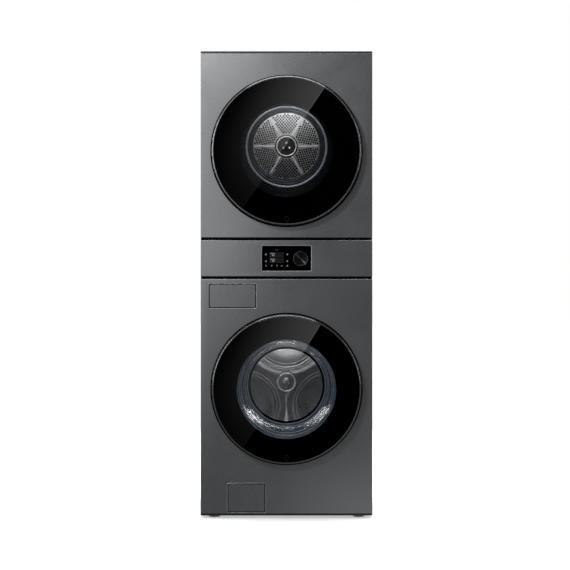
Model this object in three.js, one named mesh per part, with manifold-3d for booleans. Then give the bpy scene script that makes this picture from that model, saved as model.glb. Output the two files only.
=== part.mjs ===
// A stacked laundry tower: a front-loading washing machine below, a tumble dryer above, and one
// control band between them, in a single cabinet. Millimetres, +Z up. X runs to the right, Y from
// the front to the back. The origin is on the floor, under the middle of the tower.

import * as THREE from "three";
import { mergeVertices } from "three/addons/utils/BufferGeometryUtils.js";
import Module from "manifold-3d";

const wasm = await Module();
wasm.setup();

// ---------------------------------------------------------------- driving dimensions

const WIDTH = 686;
const HEIGHT = 1865;
const FRONT = -380; // plane of the front panels
const REAR = 400; // plane of the rear cover
const SHEET = 1; // cabinet steel
const PLAY = 0.4; // gap between pieces that meet
const HALF = WIDTH / 2;
const PANEL_RETURN = 25; // depth of a front panel's folded edges
const TOP_THICKNESS = 8;
const FOOT_HEIGHT = 10;
const FLOOR_PAN = FOOT_HEIGHT + 0.3; // underside of the base pan
const PAN_HEIGHT = 32;
const PAN_WALL = 2;

// Front panels, as heights above the floor.
const WASHER_PANEL = [17.5, 955];
const CONTROL_BAND = [965, 1110];
const DRYER_PANEL = [1120, HEIGHT - TOP_THICKNESS - 0.3];
const MID_DECK_Z = 1092;

// Doors.
const WASHER_DOOR_Z = 516;
const DRYER_DOOR_Z = 1466;
const DOOR_RADIUS = 298;
const DOOR_BACK = FRONT - 4;
const DOOR_FRONT = FRONT - 40;
const GLASS_RADIUS = 290.6;
const GLASS_THICKNESS = 4;
const WASHER_WINDOW_RADIUS = 200;
const DRYER_WINDOW_RADIUS = 193;
const WASHER_MOUTH_RADIUS = 236;
const DRYER_MOUTH_RADIUS = 216;
const HINGE_X = -280;
const HINGE_Y = FRONT - 26;
const PIN_RADIUS = 3;
const PIN_HALF = 42;
const LUG_CENTRE = 30; // each lug's height from the door's middle
const LUG_HALF = 6;
const STRIKE_X = 266;

// Control panel.
const CONTROL_Z = (CONTROL_BAND[0] + CONTROL_BAND[1]) / 2;
const SCREEN_WIDTH = 197.6;
const SCREEN_HEIGHT = 100.6;
const DIAL_X = 56;
const DIAL_Z = 1036;
const DIAL_RADIUS = 29.5;

// Detergent drawer and filter hatch, each [left, right] and [bottom, top].
const DRAWER_X = [-311.2, -120.4];
const DRAWER_Z = [838.5, 937];
const DRAWER_GAP = 2;
const HATCH_X = [-236, -84];
const HATCH_Z = [22.4, 139];
const HATCH_GAP = 1.4;
const FILTER_X = -160;
const FILTER_Z = 80;

// Washing unit, round an axis along Y.
const TUB_RADIUS = 306; // middle of the wall
const TUB_WALL = 4;
const DRUM_RADIUS = 286;
const DRUM_WALL = 1;
const DRUM_BACK = FRONT + 602;
const LIFTER_ANGLES = [270, 30, 150];
const SPRING_X = 200;
const DAMPER_X = 130;
const SUSPENSION_Y = FRONT + 400;

// Drying unit.
const DRYER_AXIS_Z = 1525;
const DRYER_DRUM_RADIUS = 290;
const ROLLER_RADIUS = 25;
const ROLLER_ANGLE = 35; // each side of straight down
const MOTOR_X = 190;
const MOTOR_Z = 1160;
const PULLEY_RADIUS = 14;
const BELT_Y = FRONT + 400;

const FINE = 36; // sides of a large round piece that shows
const MEDIUM = 24;
const SMALL = 12;

// ---------------------------------------------------------------- materials

const paint = (color, roughness, metalness, extra = {}) =>
  new THREE.MeshStandardMaterial({ color, roughness, metalness, ...extra });
const inox = paint(0x6f7073, 0.42, 0.75);
const inoxDark = paint(0x4a4b4e, 0.45, 0.7);
const blackGlass = paint(0x050506, 0.06, 0.1, { transparent: true, opacity: 0.5 });
const clearGlass = paint(0xdfe6ea, 0.03, 0, { transparent: true, opacity: 0.25 });
const blackPlastic = paint(0x141416, 0.5, 0);
const greyPlastic = paint(0x8a8d92, 0.55, 0);
const whitePlastic = paint(0xe4e5e6, 0.5, 0);
const rubber = paint(0x5f6266, 0.8, 0);
const stainless = paint(0xb4b7bb, 0.25, 1);
const galvanised = paint(0x9a9da0, 0.5, 0.9);
const castAlloy = paint(0xa6a8aa, 0.55, 0.9);
const copper = paint(0x8a5a3a, 0.4, 0.9);
const darkSteel = paint(0x3a3b3d, 0.4, 0.9);

// ---------------------------------------------------------------- solids from geometries

// A closed geometry as a solid, with its faces turned to point out.
function solid(geometry) {
  const plain = geometry.index ? geometry.toNonIndexed() : geometry.clone();
  const bare = new THREE.BufferGeometry();
  bare.setAttribute("position", plain.getAttribute("position"));
  const merged = mergeVertices(bare, 1e-3);
  const index = merged.index.array;
  const kept = [];
  for (let i = 0; i < index.length; i += 3) {
    const [a, b, c] = [index[i], index[i + 1], index[i + 2]];
    if (a !== b && b !== c && c !== a) kept.push(a, b, c);
  }
  const make = (corners) =>
    new wasm.Manifold(
      new wasm.Mesh({
        numProp: 3,
        vertProperties: merged.attributes.position.array,
        triVerts: new Uint32Array(corners),
      }),
    );
  const made = make(kept);
  return made.volume() > 0 ? made : make(kept.reverse());
}

function geometryOf(made) {
  const mesh = made.getMesh();
  const points = new Float32Array(mesh.numVert * 3);
  for (let i = 0; i < mesh.numVert; i++) {
    points.set(mesh.vertProperties.subarray(i * mesh.numProp, i * mesh.numProp + 3), i * 3);
  }
  const geometry = new THREE.BufferGeometry();
  geometry.setAttribute("position", new THREE.BufferAttribute(points, 3));
  geometry.setIndex(new THREE.BufferAttribute(new Uint32Array(mesh.triVerts), 1));
  geometry.computeVertexNormals();
  return geometry;
}

const cut = (first, ...tools) => tools.reduce((left, tool) => left.subtract(tool), first);
const join = (first, ...others) => others.reduce((sum, other) => sum.add(other), first);

function block(x0, x1, y0, y1, z0, z1) {
  const box = new THREE.BoxGeometry(x1 - x0, y1 - y0, z1 - z0);
  return solid(box.translate((x0 + x1) / 2, (y0 + y1) / 2, (z0 + z1) / 2));
}

// A cylinder along Y, round (x, z).
function rodY(x, z, radius, y0, y1, sides = SMALL) {
  const rod = new THREE.CylinderGeometry(radius, radius, y1 - y0, sides);
  return solid(rod.translate(x, (y0 + y1) / 2, z));
}

// A cylinder along Z, round (x, y).
function rodZ(x, y, radius, z0, z1, sides = SMALL) {
  const rod = new THREE.CylinderGeometry(radius, radius, z1 - z0, sides);
  return solid(rod.rotateX(Math.PI / 2).translate(x, y, (z0 + z1) / 2));
}

const asPoints = (profile) => profile.map(([u, v]) => new THREE.Vector2(u, v));
const onAxis = (profile) => profile[0][0] === 0 && profile.at(-1)[0] === 0;

// A profile of [radius, along] points, turned round an axis along Y through (x, z).
function turnY(profile, x, z, sides = FINE) {
  const closed = onAxis(profile) ? profile : [...profile, profile[0]];
  return solid(new THREE.LatheGeometry(asPoints(closed), sides).translate(x, 0, z));
}

// The same round an axis along Z through (x, y).
function turnZ(profile, x, y, sides = SMALL) {
  const closed = onAxis(profile) ? profile : [...profile, profile[0]];
  const turned = new THREE.LatheGeometry(asPoints(closed), sides).rotateX(Math.PI / 2);
  return solid(turned.translate(x, y, 0));
}

// An outline in X and Z, given a thickness from y0 to y1.
function slab(shape, y0, y1, arcSides = 12) {
  const flat = new THREE.ExtrudeGeometry(shape, {
    depth: y1 - y0,
    bevelEnabled: false,
    curveSegments: arcSides,
  });
  return solid(flat.rotateX(Math.PI / 2).translate(0, y1, 0));
}

// A rectangle with round corners, in X and Z.
function roundedRectangle([x0, x1], [z0, z1], radius) {
  const shape = new THREE.Shape();
  shape.moveTo(x0 + radius, z0);
  shape.lineTo(x1 - radius, z0);
  shape.absarc(x1 - radius, z0 + radius, radius, -Math.PI / 2, 0, false);
  shape.absarc(x1 - radius, z1 - radius, radius, 0, Math.PI / 2, false);
  shape.absarc(x0 + radius, z1 - radius, radius, Math.PI / 2, Math.PI, false);
  shape.absarc(x0 + radius, z0 + radius, radius, Math.PI, Math.PI * 1.5, false);
  return shape;
}

// The closed outline of a wall of one thickness that follows a line of points.
function wallProfile(line, thickness) {
  const points = asPoints(line);
  const side = (sign) =>
    points.map((point, i) => {
      const before = points[Math.max(i - 1, 0)];
      const after = points[Math.min(i + 1, points.length - 1)];
      const into = (i ? point.clone().sub(before) : after.clone().sub(point)).normalize();
      const out = (after === point ? into.clone() : after.clone().sub(point)).normalize();
      const across = new THREE.Vector2(-into.y - out.y, into.x + out.x).normalize();
      const stretch = 1 / Math.max(0.4, across.dot(new THREE.Vector2(-into.y, into.x)));
      const moved = point.clone().addScaledVector(across, (sign * thickness * stretch) / 2);
      return [point.x === 0 ? 0 : moved.x, moved.y];
    });
  return [...side(1), ...side(-1).reverse()];
}

// A wall whose line ends on the axis: its outline runs from the axis, out and back to the axis.
function capProfile(line, thickness) {
  const outline = wallProfile(line, thickness);
  const half = line.length;
  return [...outline.slice(half), ...outline.slice(0, half)];
}

function turned(made, degrees, x, z) {
  const angle = THREE.MathUtils.degToRad(degrees);
  const matrix = new THREE.Matrix4()
    .makeTranslation(x, 0, z)
    .multiply(new THREE.Matrix4().makeRotationY(-angle))
    .multiply(new THREE.Matrix4().makeTranslation(-x, 0, -z));
  return solid(geometryOf(made).applyMatrix4(matrix));
}

// ---------------------------------------------------------------- the assembly

const tower = new THREE.Group();

function piece(name, made, material) {
  const mesh = new THREE.Mesh(geometryOf(made), material);
  mesh.name = name;
  tower.add(mesh);
}

// ---------------------------------------------------------------- cabinet

const INSIDE = HALF - SHEET; // inner face of a side panel
const PANEL_BACK = FRONT + PANEL_RETURN;

function basePan() {
  const [x, y0, y1] = [INSIDE - 0.8, PANEL_BACK + 2, REAR - 3];
  const top = FLOOR_PAN + PAN_HEIGHT;
  const tray = cut(
    block(-x, x, y0, y1, FLOOR_PAN, top),
    block(-x + PAN_WALL, x - PAN_WALL, y0 + PAN_WALL, y1 - PAN_WALL, FLOOR_PAN + PAN_WALL, top + 1),
  );
  const kickTop = WASHER_PANEL[0] - 0.6;
  const kick = block(-HALF, HALF, FRONT + 3, PANEL_BACK, FLOOR_PAN, kickTop);
  const link = block(-x, x, PANEL_BACK - 1, y0 + 1, FLOOR_PAN, kickTop);
  const holes = FEET.map(([, fx, fy]) => rodZ(fx, fy, 8, 0, 30));
  return cut(join(tray, kick, link), ...holes);
}

const FEET = [
  ["levelling_foot_front_left", -290, FRONT + 70],
  ["levelling_foot_front_right", 290, FRONT + 70],
  ["levelling_foot_rear_left", -290, REAR - 70],
  ["levelling_foot_rear_right", 290, REAR - 70],
];

// A rubber pad on a threaded stud that stands up through the base pan.
function levellingFoot(x, y) {
  const [pad, neck, stud, shoulder, tip] = [22, 14, 6.5, 9.9, 48];
  const profile = [[0, 0], [pad, 0], [pad, 5], [neck, shoulder], [stud, shoulder], [stud, tip]];
  return turnZ([...profile, [0, tip]], x, y);
}

const sideTop = HEIGHT - TOP_THICKNESS - PLAY;
const sidePanel = (side) => {
  const edges = [side * INSIDE, side * HALF].sort((a, b) => a - b);
  return block(...edges, PANEL_BACK + 0.6, REAR, FLOOR_PAN, sideTop);
};

function rearCover() {
  const slots = [];
  for (let row = 0; row < 7; row++) {
    const z = 1640 + row * 22;
    slots.push(block(-110, 110, REAR - 5, REAR + 1, z, z + 8));
  }
  const ports = INLET_X.map((x) => rodY(x, INLET_Z, 16, REAR - 5, REAR + 1));
  const sheet = block(-INSIDE + PLAY, INSIDE - PLAY, REAR - SHEET, REAR, FLOOR_PAN, sideTop);
  return cut(sheet, ...slots, ...ports);
}

function topPanel() {
  const [bottom, lid] = [HEIGHT - TOP_THICKNESS, HEIGHT - SHEET];
  const hollow = block(-INSIDE, INSIDE, FRONT + SHEET, REAR - SHEET, bottom - 1, lid);
  return cut(block(-HALF, HALF, FRONT, REAR, bottom, HEIGHT), hollow);
}

// A front panel: one pressed sheet, folded back on its four edges.
function foldedPanel([z0, z1]) {
  return cut(
    block(-HALF, HALF, FRONT, PANEL_BACK, z0, z1),
    block(-INSIDE, INSIDE, FRONT + SHEET, PANEL_BACK + 1, z0 + SHEET, z1 - SHEET),
  );
}

// Slots in a front panel for a door's hinge lugs and strike.
function doorSlots(z) {
  const through = [FRONT - 1, FRONT + 5];
  const lug = (side) => {
    const centre = z + side * LUG_CENTRE;
    return block(HINGE_X - 4, HINGE_X + 4, ...through, centre - LUG_HALF - 1, centre + LUG_HALF + 1);
  };
  return [lug(-1), lug(1), block(STRIKE_X - 12, STRIKE_X + 8, ...through, z - 14, z + 14)];
}

function washerFrontPanel() {
  const behind = FRONT + 5;
  return cut(
    foldedPanel(WASHER_PANEL),
    rodY(0, WASHER_DOOR_Z, WASHER_MOUTH_RADIUS, FRONT - 1, behind, FINE),
    slab(roundedRectangle(DRAWER_X, DRAWER_Z, 8), FRONT - 1, behind, 4),
    slab(roundedRectangle(HATCH_X, HATCH_Z, 6), FRONT - 1, behind, 4),
    ...doorSlots(WASHER_DOOR_Z),
  );
}

function dryerFrontPanel() {
  const mouth = rodY(0, DRYER_DOOR_Z, DRYER_MOUTH_RADIUS, FRONT - 1, FRONT + 5, FINE);
  return cut(foldedPanel(DRYER_PANEL), mouth, ...doorSlots(DRYER_DOOR_Z));
}

piece("base_pan", basePan(), galvanised);
for (const [name, x, y] of FEET) piece(name, levellingFoot(x, y), rubber);
piece("side_panel_left", sidePanel(-1), inox);
piece("side_panel_right", sidePanel(1), inox);
piece("top_panel", topPanel(), inoxDark);
piece("mid_deck", block(-338, 338, FRONT + 30, REAR - 3, MID_DECK_Z, MID_DECK_Z + 2), galvanised);
piece("washer_front_panel", washerFrontPanel(), inox);
piece("dryer_front_panel", dryerFrontPanel(), inox);

// ---------------------------------------------------------------- water inlet

const INLET_Z = 905;
const INLET_X = [-250, -190];

// A double valve, whose two stubs stand out of the rear cover, each with a strainer just inside.
function inletValve() {
  const body = block(-275, -165, REAR - 60, REAR - 10, INLET_Z - 22, INLET_Z + 22);
  const stubs = INLET_X.map((x) => rodY(x, INLET_Z, 13, REAR - 12, REAR + 20));
  const strainers = INLET_X.map((x) => rodY(x, INLET_Z, 9.5, REAR + 16.6, REAR + 21));
  return cut(join(body, ...stubs), ...strainers);
}

piece("rear_cover", rearCover(), galvanised);
piece("inlet_valve", inletValve(), whitePlastic);

// ---------------------------------------------------------------- control panel

const centred = (middle, size) => [middle - size / 2, middle + size / 2];

function controlFascia() {
  const opening = roundedRectangle(
    centred(0, SCREEN_WIDTH + 1.2),
    centred(CONTROL_Z, SCREEN_HEIGHT + 1.2),
    4,
  );
  return cut(foldedPanel(CONTROL_BAND), slab(opening, FRONT - 1, FRONT + 5, 4));
}

function controlGlass() {
  const outline = roundedRectangle(
    centred(0, SCREEN_WIDTH),
    centred(CONTROL_Z, SCREEN_HEIGHT),
    3.5,
  );
  const dialHole = rodY(DIAL_X, DIAL_Z, DIAL_RADIUS + 1.5, FRONT - 2, FRONT + 5, MEDIUM);
  return cut(slab(outline, FRONT - 0.2, FRONT + 2.8, 4), dialHole);
}

// The electronics' housing, which carries the glass and the dial's spindle.
function controlModule() {
  const half = SCREEN_WIDTH / 2;
  const [z0, z1] = centred(CONTROL_Z, SCREEN_HEIGHT);
  const housing = block(-half, half, FRONT + 3.2, FRONT + 30, z0, z1);
  return join(housing, rodY(DIAL_X, DIAL_Z, 6, FRONT - 6.6, FRONT + 4));
}

function controlDial() {
  const [face, back, bore, boreEnd] = [FRONT - 14, FRONT + 1, 6.5, FRONT - 7];
  const profile = [[0, face], [DIAL_RADIUS - 1.5, face], [DIAL_RADIUS, face + 1.5]];
  const skirt = [[DIAL_RADIUS, back], [bore, back], [bore, boreEnd], [0, boreEnd]];
  return turnY([...profile, ...skirt], DIAL_X, DIAL_Z, MEDIUM);
}

piece("control_fascia", controlFascia(), inox);
piece("control_glass", controlGlass(), blackGlass);
piece("control_module", controlModule(), blackPlastic);
piece("control_dial", controlDial(), blackPlastic);

// ---------------------------------------------------------------- doors

// The metal ring round a door's glass, with pockets that the fixed hinge lugs swing through.
function doorRim(z) {
  const [front, back, inner] = [DOOR_FRONT, DOOR_BACK, 291.2];
  const outside = [[inner, front], [295.5, front], [DOOR_RADIUS, front + 2.5]];
  const heel = [[DOOR_RADIUS, back - 7], [291, back], [287, back], [287, back - 3]];
  const ring = turnY([...outside, ...heel, [inner, back - 5]], 0, z);
  const pocket = (side) => {
    const centre = z + side * LUG_CENTRE;
    return block(-310, HINGE_X + 9, DOOR_FRONT + 3.8, FRONT, centre - 8, centre + 8);
  };
  return cut(ring, pocket(-1), pocket(1));
}

function doorGlass(z) {
  const front = DOOR_FRONT + 0.4;
  const back = front + GLASS_THICKNESS;
  return turnY([[0, front], [GLASS_RADIUS, front], [GLASS_RADIUS, back], [0, back]], 0, z);
}

// The moulded ring behind the glass. It holds the window, the hinge block and the strike.
function doorInnerFrame(z, windowRadius) {
  const [front, back, outer, wall] = [FRONT - 35, DOOR_BACK - 0.4, 290.2, 3];
  const inside = [
    [windowRadius, front],
    [windowRadius + wall, front],
    [windowRadius + wall, back - wall],
    [outer - wall, back - wall - 3],
    [outer - wall, front],
  ];
  const outside = [[outer, front], [outer, back - 5.6], [286.4, back - 3.2], [286.4, back]];
  const ring = turnY([...inside, ...outside, [windowRadius, back]], 0, z);
  const hingeBlock = block(-291, -258, front, back - 6, z - 55, z + 55).intersect(
    rodY(0, z, outer, front, back, FINE),
  );
  const strike = join(
    block(STRIKE_X - 2, STRIKE_X + 2, back - 2, FRONT + 20, z - 8, z + 8),
    block(STRIKE_X - 8, STRIKE_X + 2, FRONT + 15, FRONT + 20, z - 8, z + 8),
  );
  const pocket = (side) => {
    const centre = z + side * LUG_CENTRE;
    return block(-310, HINGE_X + 9, FRONT - 34, FRONT, centre - 8, centre + 8);
  };
  const bore = rodZ(HINGE_X, HINGE_Y, PIN_RADIUS + PLAY, z - PIN_HALF - 1, z + PIN_HALF + 1, 12);
  return cut(join(ring, hingeBlock, strike), pocket(-1), pocket(1), bore);
}

// The deep glass bowl of the washing machine's door.
const washerBowl = () =>
  turnY(
    capProfile(
      [
        [197.4, FRONT - 34],
        [192, FRONT + 24],
        [166, FRONT + 88],
        [148, FRONT + 104],
        [0, FRONT + 110],
      ],
      4,
    ),
    0,
    WASHER_DOOR_Z,
  );

// The shallow inner window of the dryer's door.
const dryerWindow = () =>
  turnY(
    capProfile(
      [
        [190.5, FRONT - 34],
        [184, FRONT + 12],
        [160, FRONT + 40],
        [0, FRONT + 44],
      ],
      4,
    ),
    0,
    DRYER_DOOR_Z,
  );

// The fixed half of a hinge: a plate behind the front panel, two lugs and the pin through them.
function hingeBracket(z) {
  const plate = block(HINGE_X - 20, HINGE_X + 20, FRONT + 1.8, FRONT + 5, z - 50, z + 50);
  const lug = (side) => {
    const [z0, z1] = centred(z + side * LUG_CENTRE, LUG_HALF * 2);
    return join(
      block(HINGE_X - 3, HINGE_X + 3, HINGE_Y, FRONT + 2, z0, z1),
      rodZ(HINGE_X, HINGE_Y, 6, z0, z1, 12),
    );
  };
  const pin = rodZ(HINGE_X, HINGE_Y, PIN_RADIUS, z - PIN_HALF, z + PIN_HALF, 12);
  return join(plate, lug(-1), lug(1), pin);
}

// The box behind the front panel that catches a door's strike.
function doorLock(z) {
  const box = block(STRIKE_X - 15, STRIKE_X + 16, FRONT + 1.8, FRONT + 42, z - 30, z + 30);
  return cut(box, block(STRIKE_X - 12, STRIKE_X + 8, FRONT, FRONT + 26, z - 12, z + 12));
}

function door(name, z, windowRadius, window) {
  piece(`${name}_rim`, doorRim(z), darkSteel);
  piece(`${name}_glass`, doorGlass(z), blackGlass);
  piece(`${name}_inner_frame`, doorInnerFrame(z, windowRadius), blackPlastic);
  piece(`${name}_${window.name}`, window.made, clearGlass);
  piece(`${name}_hinge_bracket`, hingeBracket(z), castAlloy);
  piece(`${name}_lock`, doorLock(z), blackPlastic);
}

door("washer_door", WASHER_DOOR_Z, WASHER_WINDOW_RADIUS, { name: "bowl", made: washerBowl() });
door("dryer_door", DRYER_DOOR_Z, DRYER_WINDOW_RADIUS, { name: "window", made: dryerWindow() });

// ---------------------------------------------------------------- detergent drawer

const inset = ([low, high], by) => [low + by, high - by];

const drawerFront = () =>
  slab(
    roundedRectangle(inset(DRAWER_X, DRAWER_GAP), inset(DRAWER_Z, DRAWER_GAP), 6),
    FRONT,
    FRONT + 4,
    4,
  );

const TRAY_X = inset(DRAWER_X, 7);
const TRAY_Z = [DRAWER_Z[0] + 5, DRAWER_Z[1] - 17];
const TRAY_Y = [FRONT + 4.6, FRONT + 270];
const TRAY_WALL = 2;
const TRAY_SPLIT = -205; // left face of the wall between the two compartments

function drawerTray() {
  const [y0, y1] = inset(TRAY_Y, TRAY_WALL);
  const floor = TRAY_Z[0] + TRAY_WALL;
  const top = TRAY_Z[1] + 1;
  return cut(
    block(...TRAY_X, ...TRAY_Y, ...TRAY_Z),
    block(TRAY_X[0] + TRAY_WALL, TRAY_SPLIT, y0, y1, floor, top),
    block(TRAY_SPLIT + TRAY_WALL, TRAY_X[1] - TRAY_WALL, y0, y1, floor, top),
  );
}

function dispenserHousing() {
  const outside = block(-313.5, -118, FRONT + 6, FRONT + 300, 835.5, 940);
  const inside = [...inset(DRAWER_X, 1.5), FRONT + 5, FRONT + 297, ...inset(DRAWER_Z, 1)];
  return cut(outside, block(...inside));
}

piece("drawer_front", drawerFront(), inox);
piece("drawer_tray", drawerTray(), whitePlastic);
piece("dispenser_housing", dispenserHousing(), whitePlastic);

// ---------------------------------------------------------------- drain pump and its hatch

const filterHatch = () =>
  slab(
    roundedRectangle(inset(HATCH_X, HATCH_GAP), inset(HATCH_Z, HATCH_GAP), 5),
    FRONT,
    FRONT + 2.5,
    4,
  );

function drainPump() {
  const chamber = rodY(FILTER_X, FILTER_Z, 37, FRONT + 44, FRONT + 170, 24);
  const motor = rodY(FILTER_X, FILTER_Z, 26, FRONT + 169, FRONT + 230);
  const outlet = block(FILTER_X + 30, FILTER_X + 70, FRONT + 120, FRONT + 145, 68, 92);
  const bore = rodY(FILTER_X, FILTER_Z, 30, FRONT + 40, FRONT + 130, 24);
  return cut(join(chamber, motor, outlet), bore);
}

// The screw-in fluff filter: a cap with a grip bar, and the basket behind it.
function drainFilter() {
  const cap = rodY(FILTER_X, FILTER_Z, 33, FRONT + 28, FRONT + 42, 24);
  const grip = block(FILTER_X - 26, FILTER_X + 26, FRONT + 20, FRONT + 29, 75, 85);
  const basket = rodY(FILTER_X, FILTER_Z, 27, FRONT + 41, FRONT + 124, 24);
  return join(cap, grip, basket);
}

piece("filter_hatch", filterHatch(), inox);
piece("drain_pump", drainPump(), greyPlastic);
piece("drain_filter", drainFilter(), greyPlastic);

// ---------------------------------------------------------------- washing unit

const GASKET_LINE = [
  [246, FRONT + 4],
  [206, FRONT + 6],
  [207, FRONT + 20],
  [238, FRONT + 34],
  [213, FRONT + 56],
  [225.5, FRONT + 80],
  [225.5, FRONT + 100],
];

const TUB_JOINT = FRONT + 330;

const tubFront = () =>
  turnY(
    wallProfile(
      [
        [231.5, FRONT + 88],
        [231.5, FRONT + 108],
        [TUB_RADIUS, FRONT + 120],
        [TUB_RADIUS, TUB_JOINT],
        [316, TUB_JOINT],
      ],
      TUB_WALL,
    ),
    0,
    WASHER_DOOR_Z,
    MEDIUM,
  );

// The rear half of the tub, with the bearing hub in its middle.
const tubRear = () =>
  turnY(
    wallProfile(
      [
        [316, TUB_JOINT + 5],
        [TUB_RADIUS, TUB_JOINT + 5],
        [TUB_RADIUS, FRONT + 625],
        [60, FRONT + 640],
        [24, FRONT + 640],
        [24, FRONT + 705],
      ],
      TUB_WALL,
    ),
    0,
    WASHER_DOOR_Z,
    MEDIUM,
  );

const washerDrum = () =>
  turnY(
    capProfile(
      [
        [214, FRONT + 122],
        [275, FRONT + 130],
        [DRUM_RADIUS, FRONT + 144],
        [DRUM_RADIUS, DRUM_BACK],
        [0, DRUM_BACK],
      ],
      DRUM_WALL,
    ),
    0,
    WASHER_DOOR_Z,
  );

// A hollow paddle inside the drum, drawn at the bottom and turned to its place.
function lifter(angle) {
  const [foot, shoulder, height, wall] = [45, 28, 48, 3];
  const base = WASHER_DOOR_Z - 280.5;
  const paddle = (inwards, bottom) => {
    const top = base + height - inwards;
    const outline = new THREE.Shape();
    outline.moveTo(-foot + inwards, bottom);
    outline.lineTo(foot - inwards, bottom);
    outline.lineTo(shoulder - inwards, top - 14);
    outline.quadraticCurveTo(shoulder - 8 - inwards, top, 0, top);
    outline.quadraticCurveTo(8 + inwards - shoulder, top, inwards - shoulder, top - 14);
    return slab(outline, FRONT + 170 + inwards, FRONT + 560 - inwards, 4);
  };
  return turned(cut(paddle(0, base), paddle(wall, base - 1)), angle - 270, 0, WASHER_DOOR_Z);
}

// The three-armed casting that carries the drum on its shaft.
function drumSpider() {
  const arms = LIFTER_ANGLES.map((angle) =>
    turned(
      block(-17, 17, FRONT + 606, FRONT + 620, WASHER_DOOR_Z - 275, WASHER_DOOR_Z),
      angle - 270,
      0,
      WASHER_DOOR_Z,
    ),
  );
  const hub = rodY(0, WASHER_DOOR_Z, 50, FRONT + 606, FRONT + 626, 24);
  const shaft = rodY(0, WASHER_DOOR_Z, 20, FRONT + 620, FRONT + 714, 24);
  return join(...arms, hub, shaft);
}

const motorStator = () =>
  turnY(
    [[78, FRONT + 652], [105, FRONT + 652], [105, FRONT + 690], [78, FRONT + 690]],
    0,
    WASHER_DOOR_Z,
    MEDIUM,
  );

function motorRotor() {
  const [lip, back, inner, outer] = [FRONT + 650, FRONT + 718, 110.5, 114];
  const profile = [[0, back], [outer, back], [outer, lip], [inner, lip], [inner, back - 3.4]];
  return turnY([...profile, [0, back - 3.4]], 0, WASHER_DOOR_Z, MEDIUM);
}

// Height of the tub's outer face over its axis, beside a wire or rod of some radius.
const tubSurface = (x, radius) =>
  Math.sqrt((TUB_RADIUS + TUB_WALL / 2) ** 2 - (Math.abs(x) - radius) ** 2) + PLAY;

// A tension spring: wire down from the deck, a coil as a ridged column, and wire to the tub.
function suspensionSpring(x) {
  const [wire, root, crest, turns, pitch, coilTop] = [3, 8, 13, 5, 26, 920];
  const profile = [[0, MID_DECK_Z - PLAY], [wire, MID_DECK_Z - PLAY], [wire, coilTop]];
  for (let turn = 0; turn < turns; turn++) {
    profile.push([crest, coilTop - (turn + 0.5) * pitch]);
    if (turn < turns - 1) profile.push([root, coilTop - (turn + 1) * pitch]);
  }
  const tubTop = WASHER_DOOR_Z + tubSurface(x, wire);
  profile.push([wire, coilTop - turns * pitch], [wire, tubTop], [0, tubTop]);
  return turnZ(profile, x, SUSPENSION_Y, 8);
}

const damperCylinder = (x) =>
  cut(rodZ(x, SUSPENSION_Y, 15, 12.8, 128), rodZ(x, SUSPENSION_Y, 8, 40, 130));

const damperRod = (x) =>
  rodZ(x, SUSPENSION_Y, 6.5, 62, WASHER_DOOR_Z - tubSurface(x, 6.5));

piece("washer_gasket", turnY(wallProfile(GASKET_LINE, 3), 0, WASHER_DOOR_Z), rubber);
piece("tub_front", tubFront(), greyPlastic);
piece("tub_rear", tubRear(), greyPlastic);
piece("washer_drum", washerDrum(), stainless);
LIFTER_ANGLES.forEach((angle, i) => piece(`drum_lifter_${i + 1}`, lifter(angle), greyPlastic));
piece("drum_spider", drumSpider(), castAlloy);
piece("motor_stator", motorStator(), copper);
piece("motor_rotor", motorRotor(), darkSteel);
for (const [side, sign] of [["left", -1], ["right", 1]]) {
  piece(`suspension_spring_${side}`, suspensionSpring(sign * SPRING_X), darkSteel);
  piece(`damper_cylinder_${side}`, damperCylinder(sign * DAMPER_X), blackPlastic);
  piece(`damper_rod_${side}`, damperRod(sign * DAMPER_X), galvanised);
}

// ---------------------------------------------------------------- drying unit

const THROAT_Y = [FRONT + 8, FRONT + 98];
const THROAT_RISE = 23; // the laundry goes up towards the drum by this much
const THROAT_LINE = [[213, FRONT + 6], [204, THROAT_Y[0]], [182, FRONT + 44], [166, THROAT_Y[1]]];
const LINT_Y = [FRONT + 60, FRONT + 90];
const LINT_HALF = 80;
const LINT_BOTTOM = 1140;

// Slants a solid round the dryer door's axis, so that it follows the throat's rise.
function slanted(made) {
  const geometry = geometryOf(made);
  const points = geometry.getAttribute("position");
  for (let i = 0; i < points.count; i++) {
    const along = (points.getY(i) - THROAT_Y[0]) / (THROAT_Y[1] - THROAT_Y[0]);
    points.setZ(i, points.getZ(i) + THROAT_RISE * Math.max(0, along));
  }
  return solid(geometry);
}

// The fixed wall in front of the dryer drum, with the throat that the laundry goes in through and
// the channel that holds the lint cassette.
function dryerFrontBulkhead() {
  const [face, back] = [FRONT + 97, FRONT + 100];
  const plate = block(-330, 330, face, back, 1228, 1842);
  const seat = turnY(
    [[257, back - 1], [261, back - 1], [261, FRONT + 120], [257, FRONT + 120]],
    0,
    DRYER_AXIS_Z,
  );
  const throat = slanted(turnY(wallProfile(THROAT_LINE, 3), 0, DRYER_DOOR_Z));
  const half = LINT_HALF + 5;
  const channel = block(-half, half, LINT_Y[0] - 2, face + 1, LINT_BOTTOM - 3, 1350);
  const inside = [...THROAT_LINE.slice(2), [163.9, back + 1]].map(([r, y]) => [r - 1.1, y]);
  const hollow = [[0, inside[0][1]], ...inside, [0, back + 1]];
  const passage = slanted(turnY(hollow, 0, DRYER_DOOR_Z));
  const slot = block(-LINT_HALF - 3, LINT_HALF + 3, ...LINT_Y, LINT_BOTTOM - 1, 1400);
  return cut(join(cut(join(plate, channel), passage), seat, throat), slot);
}

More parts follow.
